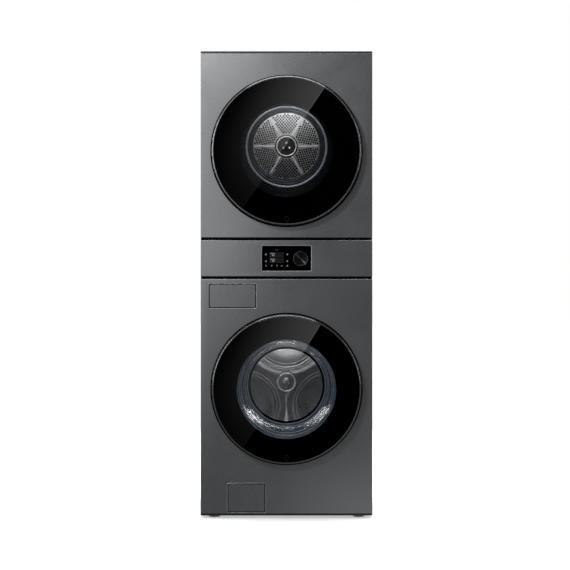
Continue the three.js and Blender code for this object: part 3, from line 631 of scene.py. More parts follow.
def door(body, z, window):
    """The ring, glass and window of a door, and a near-black ring of painted shade on the panel round it."""
    fine = {"bend": 0.0003, "body": body, "slot": "door_trim", "base": DOOR_FRONT}
    ring = [(291.0, 2.2), (291.4, 1.2), (296.6, 3.4), (297.8, 4.6), (298.0, 6.0)]
    ring += [(298.0, 29), (291.0, 36), (287.0, 36), (287.0, 33), (291.2, 31)]
    edge = [(291.4, 2.4), (291.6, 0.8), (293.8, 0.8), (294.8, 1.8), (294.8, 3.4)]
    rim = turned(f"{body}_ring", z, ring, shader=dark_trim, **fine)
    rim_edge = turned(f"{body}_ring_edge", z, edge, shader=trim, **fine)
    pockets = [
        (-0.310, HINGE_X + 0.009, DOOR_FRONT + 0.0038, FRONT, arm - 0.008, arm + 0.008)
        for arm in hinge_arms(z)
    ]
    carved(rim, pockets)
    carved(rim_edge, pockets)
    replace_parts(rim, f"{body}_rim")

    # A ring of painted shade: a near-black ring on the panel that stands for the shadow line round the closed
    # door.
    shade_ring = [(288.5, 1), (288.5, -0.6), (304.2, -0.6), (304.8, 1)]
    turned(f"{body}_seat", z, shade_ring, 0, painted_shade, "cabinet", "black_rubber")

    ring = [(window, 4.4), (window, 0.4), (289.3, 0.4), (290.6, 1.6), (290.6, 4.4)]
    glass_ring = turned(f"{body}_glass_ring", z, ring, 0, black_gloss, body, "door_glass", base=DOOR_FRONT)
    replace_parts(glass_ring, f"{body}_glass")
    pane = [(0.0, 0.4), (window, 0.4), (window, 4.4), (0.0, 4.4)]
    turned(f"{body}_window_pane", z, pane, 0, tinted, body, "door_glass", closed=False, base=DOOR_FRONT)

    mark = [
        [(0.62 * radius * math.cos(a), z - 0.273 + radius * math.sin(a)) for a in steps_of(48)]
        for radius in (0.0125, 0.0108)
    ]
    bm = bmesh.new()
    sheet(bm, mark, DOOR_FRONT + 0.00025)
    piece(f"{body}_touch_mark", bm, mark_ink, body, "door_trim")


door("washer_door", WASHER_Z, 198)
door("dryer_door", DRYER_Z, 186)

# ---------------------------------------------------------------- sides, top and back

SKIN_FRONT = FRONT + 0.0256
for side, sign in (("left", -1), ("right", 1)):
    bm = bmesh.new()
    for z0, z1 in ((0.0104, 1.0912), (1.0942, 1.8565)):
        rings = []
        for inset, depth in ((0.0, 0.0024), (0.0, 0.0011), (0.0003, 0.0004), (0.0012, 0.0)):
            outline = grown((SKIN_FRONT, REAR, z0, z1), -inset, 0.002, 3)
            rings.append([(sign * (HALF - depth), v, w) for v, w in outline])
        bm.faces.new(loft(bm, rings)[-1])
    skin = piece(f"side_skin_{side}", bm, side_paint, "cabinet", "side_steel", 50)
    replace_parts(skin, f"side_panel_{side}")
    # Painted shade: a dark strip in the gap between the lower and upper side skins.
    bm = bmesh.new()
    seam_x = sorted((sign * (HALF - 0.0012), sign * (HALF - 0.004)))
    box(bm, *seam_x, SKIN_FRONT + 0.002, REAR - 0.002, 1.088, 1.097)
    piece(f"side_seam_{side}", bm, painted_shade, "cabinet", "black_rubber")

# The lid, with a shallow dish pressed into its top: [inset, corner, depth below the top].
LID = ((0.0, 0.004, 0.0079), (0.0, 0.004, 0.0022), (0.0007, 0.004, 0.0007), (0.0022, 0.004, 0.0))
LID += ((0.020, 0.012, 0.0), (0.0215, 0.012, 0.0004), (0.0235, 0.012, 0.0012), (0.0255, 0.012, 0.0015))
bm = bmesh.new()
rings = []
for inset, corner, depth in LID:
    outline = grown((-HALF, HALF, FRONT, REAR), -inset, corner, 5)
    rings.append([(u, v, HEIGHT - depth) for u, v in outline])
bm.faces.new(loft(bm, rings)[-1])
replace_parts(piece("top_lid", bm, top_paint, "cabinet", "top_steel", 50), "top_panel")

# What sits on the back starts a little inside it.
ON_BACK = REAR - 0.0002


def bead(bm, loop, width, height):
    """A raised half-round bead that follows a closed outline on the back."""
    count = len(loop)
    rings = []
    for j in range(7):
        angle = math.pi * j / 6
        out, lift = width * math.cos(angle), height * math.sin(angle)
        ring = []
        for i, (u, v) in enumerate(loop):
            before, after = Vector(loop[i - 1]), Vector(loop[(i + 1) % count])
            along = (after - before).normalized()
            ring.append((u + along.y * out, ON_BACK + lift, v - along.x * out))
        rings.append(ring)
    loft(bm, rings)


bm = bmesh.new()
BEADS = ((0.300, 0.070, 0.800), (0.255, 0.150, 0.720), (0.300, 1.140, 1.600), (0.240, 1.200, 1.540))
for half, z0, z1 in BEADS:
    bead(bm, rounded_outline(-half, half, z0, z1, 0.045, 10), 0.006, 0.0035)
for z in (1.010, 1.060):
    bead(bm, rounded_outline(-0.290, 0.290, z - 0.010, z + 0.010, 0.0099, 8), 0.004, 0.0028)
piece("rear_beads", bm, zinc, "cabinet", "galvanised", 50)

bm = bmesh.new()
spots = [(x, z) for x in (-0.328, 0.328) for z in (0.04, 0.30, 0.56, 0.82, 1.10, 1.36, 1.62, 1.84)]
spots += [(x, z) for x in (-0.16, 0.0, 0.16) for z in (0.035, 1.842)]
screw_head = at([(4.6, 0.0), (4.6, 1.0), (3.6, 2.2), (2.0, 2.6), (1.8, 1.4), (0.2, 1.3)], ON_BACK)
for x, z in spots:
    loft(bm, turned_rings(screw_head, z, 20, x))
piece("rear_screws", bm, screw_steel, "cabinet", "galvanised", 30)

# Plugs of the transport bolts, collars and threads of the water inlets, and the rear louvres.
PLUG = [(18.5, 0), (18.5, 1.2), (17.2, 2.4), (12.5, 2.6), (11.5, 4.4), (4.0, 4.8), (3.4, 3.0), (0.3, 2.8)]
for k, (x, z) in enumerate(((-0.205, 0.245), (0.205, 0.245), (-0.205, 0.640), (0.205, 0.640))):
    name = f"transport_plug_{k + 1}"
    plug = {"bend": 0.0005, "shader": black_plastic, "body": "cabinet", "slot": "black_plastic"}
    turned(name, z, PLUG, **plug, sides=48, closed=False, base=ON_BACK, x=x)
INLET_Z = 0.905
COLLAR = [(16.6, 0), (23.2, 0), (23.2, 2.2), (21.5, 3.6), (16.6, 3.6)]
for k, (x, cap) in enumerate(((-0.250, inlet_cold), (-0.190, inlet_hot))):
    name = f"inlet_collar_{k + 1}"
    turned(name, INLET_Z, COLLAR, 0.0006, cap, "cabinet", "black_plastic", 64, 3, base=REAR, x=x)
    for step in range(4):
        depth = 6.2 + 3 * step
        line = [(12.9, depth - 0.9), (13.6, depth), (12.9, depth + 0.9)]
        name = f"inlet_{k + 1}_thread_{step + 1}"
        turned(name, INLET_Z, line, 0, white_plastic, "cabinet", "white_plastic", 48, base=REAR, x=x)
bm = bmesh.new()
for k in range(7):
    hood = []
    for j in range(8):
        angle = math.pi / 2 * j / 7
        z = 1.6515 + 0.022 * k - 0.010 * (1 - math.cos(angle))
        row = []
        for i in range(41):
            u = -0.114 + 0.228 * i / 40
            lift = 0.0055 * math.sin(angle) * smooth((0.113 - abs(u)) / 0.012)
            row.append((u, ON_BACK + lift, z))
        hood.append(row)
    loft(bm, hood, wrap=False)
piece("rear_louvres", bm, zinc, "cabinet", "galvanised", 50)

# Rounded edges on the CAD pieces that stay.
for width, names in (
    (0.0003, "rear_cover base_pan mid_deck control_glass"),
    (
        0.0008,
        "drawer_tray dispenser_housing control_module lint_filter drain_filter drain_pump inlet_valve "
        "washer_door_inner_frame dryer_door_inner_frame washer_door_hinge_bracket "
        "dryer_door_hinge_bracket washer_door_lock dryer_door_lock dryer_front_bulkhead "
        "levelling_foot_front_left levelling_foot_front_right levelling_foot_rear_left "
        "levelling_foot_rear_right drum_lifter_1 drum_lifter_2 drum_lifter_3",
    ),
):
    for name in names.split():
        mod = NODES[name].modifiers.new("edges", "BEVEL")
        mod.width, mod.segments = width, 2
        mod.limit_method, mod.angle_limit = "ANGLE", math.radians(35)
        mod.harden_normals = True

# ---------------------------------------------------------------- washer interior

lip = at([(246, 4), (206, 6), (207, 20), (238, 34), (213, 56), (225.5, 80), (225.5, 99)])
lip = fillet(lip, 0.006, 5, False)
gasket = lathe("gasket_bellows", thick(lip, -0.003), WASHER_Z, gasket_rubber, None, None, 192)
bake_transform(gasket)
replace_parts(gasket, "washer_gasket")

LOBE_FROM_AXIS, LOBE_RADIUS, LOBE_STEP = 0.208, 0.153, 0.013
LOBES = [math.radians(a) for a in (90, 210, 330)]
BACK = FRONT + 0.575
BACK_EDGE = 0.262


def drum_back(x, z):
    """Depth of the pressed back of the washer drum at a point, measured from its axis."""
    inside = max(
        LOBE_RADIUS - math.hypot(x - LOBE_FROM_AXIS * math.cos(a), z - LOBE_FROM_AXIS * math.sin(a))
        for a in LOBES
    )
    drop = 0.005 * smooth(inside / 0.010) + 0.007 * smooth((inside - LOBE_STEP) / 0.010)
    drop += 0.010 * smooth((inside - 0.022) / 0.12) - 0.004 * smooth(-inside / 0.030)
    return BACK + drop - 0.010 * smooth((math.hypot(x, z) - BACK_EDGE) / 0.02)


SHELL_SIDES, BACK_RINGS = 288, 110
front_line = at([(214, 122.5), (275, 130.5), (285.4, 144.5), (285.4, 590), (281, 591.5)])
rings = turned_rings(fillet(front_line, 0.006, 5, False), WASHER_Z, SHELL_SIDES)
for step in range(1, BACK_RINGS + 1):
    radius = 0.2805 - 0.0024 * step
    ring = [(radius * math.sin(a), radius * math.cos(a)) for a in steps_of(SHELL_SIDES)]
    rings.append([(x, drum_back(x, z), WASHER_Z + z) for x, z in ring])
bm = bmesh.new()
bm.faces.new(loft(bm, rings)[-1])
shell = piece("washer_drum_shell", bm, perforated, "washer_drum", "drum_steel", 60)
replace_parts(shell, "washer_drum")

# Raised ridges round the lobes, whose lighter steel paints their highlight.
bm = bmesh.new()
for a in LOBES:
    for inset, half_width, height in ((0.0, 0.0016, 0.0014), (LOBE_STEP, 0.0013, 0.0010)):
        radius = LOBE_RADIUS - inset
        # The ridge stops where it meets the rounded edge of the back.
        reach = (BACK_EDGE**2 - LOBE_FROM_AXIS**2 - radius**2) / (2 * LOBE_FROM_AXIS * radius)
        limit = math.pi - math.acos(max(-1.0, min(1.0, reach)))
        path = []
        for k in range(61):
            angle = a + math.pi + limit * (2 * k / 60 - 1)
            x = LOBE_FROM_AXIS * math.cos(a) + radius * math.cos(angle)
            z = LOBE_FROM_AXIS * math.sin(a) + radius * math.sin(angle)
            path.append((x, WASHER_Z + z))
        ridge(bm, path, half_width, height, lambda x, z: drum_back(x, z - WASHER_Z))
piece("washer_drum_ridges", bm, raised_highlight_steel, "washer_drum", "drum_steel", 80)

HUB = [(50, 575.4), (44, 571.5), (41.5, 565.5), (35.5, 565.5), (33, 573), (28, 576), (21.5, 576)]
HUB += [(20, 568.5), (17.5, 567), (0.3, 566.4)]
HUB_RING = [(43.0, 568.0), (41.5, 563.6), (38.0, 561.8), (34.5, 563.6), (33.0, 568.0)]
for name, line, bend, shader, closed in (
    ("washer_drum_hub", HUB, 0.0016, washer_hub, False),
    ("washer_hub_ring", HUB_RING, 0.0014, raised_highlight_steel, True),
):
    turned(name, WASHER_Z, line, bend, shader, "washer_drum", "drum_steel", 128, 4, closed)


def tube(bm, path, radius, sides=8):
    """A closed round tube along a path, its section carried along without twist."""
    rings = []
    across = Vector((1, 0, 0))
    last = len(path) - 1
    for k, point in enumerate(path):
        along = (Vector(path[min(k + 1, last)]) - Vector(path[max(k - 1, 0)])).normalized()
        across = (across - along * across.dot(along)).normalized()
        other = along.cross(across)
        ring = [(across * math.cos(a) + other * math.sin(a)) * radius for a in steps_of(sides)]
        rings.append([Vector(point) + out for out in ring])
    rows = loft(bm, rings)
    bm.faces.new(rows[0])
    bm.faces.new(rows[-1])


# Tension springs between the deck and the tub: a close coil, with a straight wire to each end.
COIL_TOP, COIL_FOOT, COIL_RADIUS, WIRE, COIL_TURNS = 0.920, 0.790, 0.0102, 0.0021, 24
COIL_STEPS = COIL_TURNS * 16
for side in ("left", "right"):
    low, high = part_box(f"suspension_spring_{side}")
    x, y = (low[0] + high[0]) / 2, (low[1] + high[1]) / 2
    path = [(x, y, high[2]), (x, y, COIL_TOP + 0.012)]
    for k in range(COIL_STEPS + 1):
        t = k / COIL_STEPS
        angle = 2 * math.pi * COIL_TURNS * t
        radius = COIL_RADIUS * smooth(min(t, 1 - t) * COIL_TURNS)
        z = COIL_TOP + (COIL_FOOT - COIL_TOP) * t
        path.append((x + radius * math.cos(angle), y + radius * math.sin(angle), z))
    path += [(x, y, COIL_FOOT - 0.012), (x, y, low[2])]
    bm = bmesh.new()
    tube(bm, path, WIRE)
    coil = piece(f"spring_coil_{side}", bm, dark_steel, None, None, 60)
    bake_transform(coil)
    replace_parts(coil, f"suspension_spring_{side}")


def bowl_rise(y):
    """How far the washer's bowl has climbed at a depth: its clear end sits above the door's middle."""
    return 0.011 * smooth((y - FRONT - 0.01) / 0.09)


# The bowl: a wavy wall, a clear end, a lip, what is moulded where they meet and round the wall, and a ring of
# painted shade where the wall meets the end.
wall_line = fillet(at([(197.0, -33), (192, 24), (166, 88), (153, 101)]), 0.010, 6, False)
bowl = {"body": "washer_door", "slot": "clear_glass"}
bowl_wall = lathe(
    "washer_bowl_wall", thick(wall_line, -0.0035), WASHER_Z, wall_glass, sides=256, rise=bowl_rise, **bowl
)
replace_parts(bowl_wall, "washer_door_bowl")
end_line = [(153, 101.2), (148, 105), (80, 109.5), (0.4, 110)]
turned("washer_bowl_end", WASHER_Z, end_line, 0, end_glass, sides=192, closed=False, rise=bowl_rise, **bowl)
lip_line = [(197.6, -34.5), (194.4, -34.5), (194.4, -31), (197.6, -31)]
turned("washer_bowl_lip", WASHER_Z, lip_line, 0.0006, teal_edge, **bowl)
shoulder_line = [(158.5, 96.0), (156.0, 96.5), (155.0, 99.5), (157.5, 101.5), (160, 98)]
turned("washer_bowl_shoulder", WASHER_Z, shoulder_line, 0.001, shoulder, rise=bowl_rise, **bowl)
# Painted shade: a near-black ring where the bowl's wall meets its clear end.
bowl_shade_line = [(154.6, 100.0), (146.0, 104.6), (146.0, 105.8), (155.0, 102.0)]
turned("washer_bowl_shade_ring", WASHER_Z, bowl_shade_line, 0.0006, painted_shade, rise=bowl_rise, **bowl)
for k, (radius, depth) in enumerate(((189.4, 30), (183.2, 46), (172.6, 71), (166.6, 84))):
    line = [(radius, depth - 2.2), (radius - 1.9, depth - 0.4), (radius - 1.9, depth + 1.0)]
    line.append((radius - 0.6, depth + 2.4))
    turned(f"washer_bowl_step_{k + 1}", WASHER_Z, line, 0.0005, shoulder, rise=bowl_rise, **bowl)

# ---------------------------------------------------------------- dryer interior

disc_y = FRONT + 0.5965
HOLE, ROW_PITCH, HOLE_PITCH = 0.0041, 0.0072, 0.0124
sector_slope = math.tan(math.radians(30))
holes = []
for sector in range(6):
    middle = math.radians(30 + 60 * sector)
    for row in range(12):
        radius = 0.0580 + ROW_PITCH * row
        for i in range(-7, 8):
            across = (i + 0.5 * (row % 2)) * HOLE_PITCH
            if math.hypot(radius, across) > 0.1378 or abs(across) > (radius - 0.017) * sector_slope:
                continue
            u = radius * math.cos(middle) - across * math.sin(middle)
            v = radius * math.sin(middle) + across * math.cos(middle)
            holes.append(circle(u, DRYER_AXIS + v, HOLE, 8))
bm = bmesh.new()
sheet(bm, [circle(0, DRYER_AXIS, 0.1425, 144)] + holes, disc_y)
for hole in holes:
    wall(bm, hole, disc_y, disc_y + 0.0012)
piece("dryer_perforated_disc", bm, disc_steel, "dryer_drum", "drum_steel")

in_drum = {"body": "dryer_drum", "slot": "drum_steel"}
shell_line = [(142.4, 596.5), (145.5, 599.5), (148.5, 599.5), (150.5, 594), (153, 594), (155, 599.5)]
shell_line += [(159, 599.5), (161, 595), (163.5, 595), (166, 600.5), (284, 600.5), (289.4, 594)]
shell_line += [(289.4, 136.5), (268, 124.5)]
shell = turned(
    "dryer_drum_shell", DRYER_AXIS, shell_line, 0.0015, drum_wall, sides=240, steps=3, closed=False, **in_drum
)
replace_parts(shell, "dryer_drum")
# Painted shade: a near-black disc behind the perforated disc, so that its holes read dark.
disc_shade_line = at([(142.3, 600.2), (0.2, 600.2)])
lathe("dryer_disc_shade", disc_shade_line, DRYER_AXIS, painted_shade, "dryer_drum", "black_plastic", 96, closed=False)

# Raised ribs on the dryer's disc, whose lighter steel paints their highlight.
bm = bmesh.new()
for k in range(6):
    angle = math.radians(60 * k)
    radii = [0.0485 + 0.089 * step / 24 for step in range(25)]
    path = [(r * math.cos(angle), DRYER_AXIS + r * math.sin(angle)) for r in radii]
    ridge(bm, path, 0.0040, 0.0035, lambda x, z: disc_y)
    ridge(bm, path[1:-1], 0.0018, 0.0058, lambda x, z: disc_y)
piece("dryer_disc_ribs", bm, raised_highlight_steel, "dryer_drum", "drum_steel", 80)

hub_ring = [(43.8, 592.0), (43.4, 589.4), (41.2, 588.6), (39.2, 589.6), (38.8, 593.0)]
turned("dryer_hub_ring", DRYER_AXIS, hub_ring, 0.0008, raised_highlight_steel, sides=128, steps=3, **in_drum)
hub_line = [(49.5, 596.6), (47.5, 592), (39.5, 591.5), (38.5, 594), (14, 594), (12, 592.5), (0.2, 592.2)]
turned("dryer_hub", DRYER_AXIS, hub_line, 0.001, hub_steel, sides=128, steps=3, closed=False, **in_drum)
screw_line = [(4.2, 593.2), (4.2, 590.4), (2.6, 589.2), (0.2, 589.0)]
for k in range(3):
    angle = math.radians(90 + 120 * k)
    x, z = 0.0145 * math.cos(angle), DRYER_AXIS + 0.0145 * math.sin(angle)
    name = f"dryer_hub_screw_{k + 1}"
    turned(name, z, screw_line, 0.0005, raised_highlight_steel, sides=24, closed=False, x=x, **in_drum)


def throat_rise(y):
    """How far the dryer's throat has climbed at a depth, from the door's middle to the drum's."""
    return 0.023 * (y - FRONT - 0.008) / 0.090


throat = {"body": "cabinet", "slot": "grey_plastic", "sides": 240, "rise": throat_rise}
liner = [(203.2, 7.2), (196, 15), (181, 43), (166.5, 90), (164.8, 97), (164.8, 100)]
turned("dryer_throat_liner", DRYER_Z, liner, 0.008, throat_plastic, steps=6, closed=False, **throat)
ring_line = [(167.6, 94), (163.5, 91), (158.5, 92.5), (156.0, 97), (157.5, 103), (167.6, 104)]
turned("dryer_throat_ring", DRYER_Z, ring_line, 0.0035, ring_plastic, steps=5, **throat)

dish = [(189.6, -34), (184, 12), (160, 40), (60, 43.5), (0.3, 44)]
dish = turned(
    "dryer_window_dish", DRYER_Z, dish, 0.008, clear_dish, "dryer_door", "clear_glass", 240, 6, closed=False
)
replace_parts(dish, "dryer_door_window")
seal_line = [(189.6, -34.5), (184.4, -34.5), (184.4, -30), (189.6, -30)]
turned("dryer_window_seal", DRYER_Z, seal_line, 0.0008, throat_plastic, "dryer_door", "grey_plastic", 240)

# ---------------------------------------------------------------- control panel

GLASS_Y = FRONT - 0.0002
MARK_Y = GLASS_Y - 0.00012
# A raised bezel round the control glass, in the lighter steel whose tone paints the highlight of its chamfer.
outer, inner = grown(SCREEN, 0.0012, 0.0048), grown(SCREEN, -0.0006, 0.0035)
crest = [(u * 0.9955, CONTROL_Z + (v - CONTROL_Z) * 0.992) for u, v in outer]
bm = bmesh.new()
BEZEL = ((outer, 0.0010), (outer, -0.0004), (crest, -0.0007), (inner, -0.0005), (inner, 0.0010))
loft(bm, [flat(loop, FRONT + depth) for loop, depth in BEZEL])
piece("control_bezel", bm, edge_highlight_steel, "cabinet", "door_trim")


def marks(name, shader, rects, corner=0.0006):
    """Flat printed or lit marks on the control glass, from [x, z, width, height] in millimetres."""
    bm = bmesh.new()
    for x, z, wide, high in rects:
        x0, z0 = x / 1000 - wide / 2000, z / 1000 - high / 2000
        radius = min(corner, wide / 2200, high / 2200)
        loop = rounded_outline(x0, x0 + wide / 1000, z0, z0 + high / 1000, radius, 3)
        bm.faces.new([bm.verts.new(point) for point in flat(loop, MARK_Y)])
    return piece(name, bm, shader, "cabinet", "panel_glass")


LEFT_KEYS, RIGHT_KEYS = -82, 3.2
KEYS = [(x, 1008) for x in (LEFT_KEYS, -58.7, -38.7, -19.2, RIGHT_KEYS)]
KEYS += [(x, z) for z in (1026, 1053) for x in (LEFT_KEYS, RIGHT_KEYS)]
LCD_X, LCD_Z = -39.0, 1040.0
LCD_ROWS = (LCD_Z + 11.2, LCD_Z - 11.2)
marks("display_back", display_grey, [(LCD_X, z, 57, 20) for z in LCD_ROWS])
blocks, lines = [], []
for z in LCD_ROWS:
    blocks += [(LCD_X - 20.5, z + 5.5, 11, 3.2), (LCD_X - 10.5, z + 5.5, 6, 3.2)]
    blocks += [(LCD_X - 16.5, z - 1.6, 4.6, 6.2), (LCD_X - 11.4, z - 1.6, 3.6, 6.2)]
    lines += [(LCD_X + 12, z + 6.2 - 5.2 * k, 26, 0.9) for k in range(3)]
marks("display_blocks", display_white, blocks)
marks("display_lines", display_line, lines)
marks("display_dots_warm", display_red, [(LCD_X - 25, LCD_Z + 5.0, 3, 3)], 0.0014)
marks("display_dots_cool", display_blue, [(LCD_X - 25, LCD_Z - 17.0, 3, 3)], 0.0014)
marks("display_bar", display_line, [(-39.5, 1071, 13, 2.6)])
bm = bmesh.new()
for x, z in KEYS:
    size = 0.0030 if x == RIGHT_KEYS or (x == LEFT_KEYS and z > 1010) else 0.0023
    sheet(bm, [circle(x / 1000, z / 1000, radius, 24) for radius in (size, size * 0.66)], MARK_Y)
piece("touch_keys", bm, display_white, "cabinet", "panel_glass")
marks("touch_key_hearts", display_line, [(x, z, 1.6, 1.6) for x, z in KEYS], 0.0007)
bm = bmesh.new()
for angle in steps_of(20):
    along, across = Vector((math.cos(angle), math.sin(angle))), Vector((-math.sin(angle), math.cos(angle)))
    centre = Vector(DIAL) + along * 0.0327
    sides = ((-1, -1), (1, -1), (1, 1), (-1, 1))
    corners = [centre + along * a * 0.0006 + across * b * 0.0003 for a, b in sides]
    bm.faces.new([bm.verts.new(point) for point in flat(corners, MARK_Y)])
piece("dial_ticks", bm, display_line, "cabinet", "panel_glass")

dial = {"z": DIAL[1], "body": "dial", "sides": 128, "x": DIAL[0]}
knob = [(29.4, 0.8), (29.4, -11.0), (28.4, -13.4), (26.2, -13.4), (25.4, -12.6), (0.3, -12.2)]
dial_turned = {"bend": 0.0004, "steps": 3, "closed": False}
knob = turned("dial_knob", points=knob, shader=dial_metal, slot="black_plastic", **dial_turned, **dial)
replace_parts(knob, "control_dial")
rim_line = [(29.6, -10.4), (29.6, -11.2), (28.6, -13.7), (27.7, -13.7), (27.7, -13.0)]
turned("dial_ring", points=rim_line, bend=0.0002, shader=trim, slot="door_trim", **dial)

# ---------------------------------------------------------------- the stage

EYE = Vector((-0.006, FRONT - 8.25, 0.931))
camera = placed("camera", bpy.data.cameras.new("camera"))
camera.data.lens, camera.data.sensor_width = 130.5, 36
camera.data.clip_end = 200
camera.location = EYE
camera.rotation_euler = (math.radians(90), 0, 0)
bpy.context.scene.camera = camera

CARD_Y = -2.2


def mirrored(x, z, y=DOOR_FRONT, card_y=CARD_Y):
    """Where the camera's view of a point on a front face goes on to, on the plane of a card."""
    reach = (y - card_y) / (y - EYE.y)
    return (EYE.x + (x - EYE.x) * (1 + reach), card_y, EYE.z + (z - EYE.z) * (1 + reach))


class Glow(Nodes):
    """An emission material. With through, what is behind it still shows."""

    def __init__(self, name, strength=1.0, through=False):
        super().__init__(name, empty=True)
        self.glow = self.node("ShaderNodeEmission", Strength=strength)
        end = self.glow.outputs[0]
        if through:
            clear = self.node("ShaderNodeBsdfTransparent").outputs[0]
            end = self.node("ShaderNodeAddShader", i0=end, i1=clear).outputs[0]
        self.node("ShaderNodeOutputMaterial", Surface=end)

    def strength(self, value):
        self.links.new(value, self.glow.inputs["Strength"])

    def ramp(self, start, end, low=0.0, high=1.0):
        """Rises from low at one point to high at another, both [x, z] on the card."""
        a, b = Vector((start[0], 0, start[1])), Vector((end[0], 0, end[1]))
        direction = (b - a).normalized()
        dot = self.node("ShaderNodeVectorMath", i0=self.coords, i1=direction)
        dot.operation = "DOT_PRODUCT"
        ends = {"From_Min": a.dot(direction), "From_Max": b.dot(direction), "To_Min": low, "To_Max": high}
        made = self.node("ShaderNodeMapRange", Value=dot.outputs["Value"], **ends)
        made.interpolation_type = "SMOOTHSTEP"
        return made.outputs[0]


def card(name, corners, glow, receivers, only=True, diffuse=False, faces=None):
    """A card of light out of the camera's sight, for some pieces only or for all but them."""
    mesh = bpy.data.meshes.new(name)
    mesh.from_pydata(corners, [], faces or [tuple(range(len(corners)))])
    mesh.materials.append(glow.material)
    made = placed(name, mesh)
    made.visible_camera = made.visible_shadow = made.visible_transmission = False
    made.visible_diffuse = diffuse
    aim(made, receivers, only)


def aim(light, receivers, only=True):
    """Lets a light reach some pieces only, or all but them."""
    chosen = bpy.data.collections.new(light.name + "_receivers")
    for receiver in receivers:
        chosen.objects.link(receiver)
    light.light_linking.receiver_collection = chosen
    if not only:
        for member in chosen.collection_objects:
            member.light_linking.link_state = "EXCLUDE"


def pieces(*names):
    return [bpy.data.objects[name] for name in names]


door_faces = pieces(
    *(f"{door}_{part}" for door in ("washer_door", "dryer_door") for part in ("glass_ring", "window_pane"))
)
dark_faces = door_faces + [NODES["control_glass"]]

# The whole front reflects this card: pale at the upper left, and a little at the lower right.
field = Glow("field")


def spot(x, z):
    """The place on the card that a point of the front panels mirrors."""
    card_x, _, card_z = mirrored(x, z, FRONT)
    return (card_x, card_z)


slant = field.ramp(spot(-0.053, 1.25), spot(-0.263, 1.305))
high = field.ramp(spot(0, 0.12), spot(0, 1.10))
right, low = field.ramp(spot(0.00, 0.1), spot(0.30, 0.1)), field.ramp(spot(0, 0.32), spot(0, 0.0))
upper_left = field.math("MULTIPLY", field.math("MULTIPLY", slant, high), 0.64)
lower_right = field.math("MULTIPLY", field.math("MULTIPLY", right, low), 0.36)
field.strength(field.math("ADD", field.math("ADD", upper_left, lower_right), 0.115))
field_corners = [(x, CARD_Y, z) for x, z in ((-2.6, -1.2), (2.6, -1.2), (2.6, 3.8), (-2.6, 3.8))]
card("field", field_corners, field, dark_faces, only=False, diffuse=True)


def gloss(name, top, foot, strength):
    """The soft patch that a door mirrors, cut off along the line from top to foot."""
    glow = Glow(name, through=True)
    top, foot = Vector(top), Vector(foot)
    along = (top - foot).normalized()
    across = Vector((-along.y, along.x))
    middle = (top + foot) / 2

    def on_card(point):
        return Vector(mirrored(point.x, point.y, DOOR_FRONT, CARD_Y + 0.05))

    def ramp(start, end, low=0.0, high=1.0):
        return glow.ramp(on_card(start).xz, on_card(end).xz, low, high)

    side = ramp(middle + across * 0.30, middle - across * 0.02)
    tall = ramp(foot, top, 0.06, 1.0)
    crisp = ramp(middle + across * 0.007, middle + across * 0.004, 0.0, 0.28)
    shape = glow.math("MULTIPLY", glow.math("ADD", side, crisp), tall)
    glow.strength(glow.math("MULTIPLY", shape, strength))
    top, foot = top + along * 0.12, foot - along * 0.12
    corners = (top, foot, foot + across * 0.55, top + across * 0.55)
    card(name, [on_card(corner) for corner in corners], glow, door_faces)


gloss("gloss_dryer", (0.152, 1.715), (-0.166, 1.247), 1.1)
gloss("gloss_washer", (0.136, 0.7725), (-0.173, 0.281), 1.0)


def area(name, place, target, size, power, receivers=()):
    data = bpy.data.lights.new(name, "AREA")
    data.shape, data.size, data.size_y = "RECTANGLE", size[0], size[1]
    data.energy = power
    made = placed(name, data)
    made.location = place
    made.rotation_euler = (Vector(target) - Vector(place)).to_track_quat("-Z", "Y").to_euler()
    made.visible_camera = False
    if receivers:
        aim(made, pieces(*receivers))
    return made


fronts = ["washer_face", "dryer_face", "control_band", "drawer_plate", "hatch_plate", "control_bezel"]
fronts += ["drawer_edge", "hatch_edge"]
for name, place, target, size, power, receivers in (
    ("side_left", (-3.2, 0.6, 1.9), (0, 0.1, 1.2), (1.6, 2.6), 60, ()),
    ("side_right", (3.4, 0.9, 1.9), (0, 0.1, 1.0), (1.6, 2.6), 45, ()),
    ("overhead", (0, 0.2, 4.5), (0, 0, 0), (3.5, 3.5), 190, ()),
    ("behind", (0.8, 4.0, 2.2), (0, 0.4, 1.0), (2.4, 2.4), 90, ()),
    ("key", (-2.4, FRONT - 4.0, 3.6), (0, FRONT, 1.0), (0.6, 0.6), 150, fronts),
):
    area(name, place, target, size, power, receivers)

# Lamps inside the two drums.
washer_spot, dryer_spot = (0, FRONT + 0.62, WASHER_Z + 0.12), (0, FRONT + 0.60, DRYER_AXIS - 0.02)
area("washer_lamp", (0, FRONT + 0.24, WASHER_Z + 0.25), washer_spot, (0.20, 0.03), 0.16)
area("dryer_lamp", (0, FRONT + 0.17, DRYER_AXIS + 0.205), dryer_spot, (0.16, 0.03), 1.15)

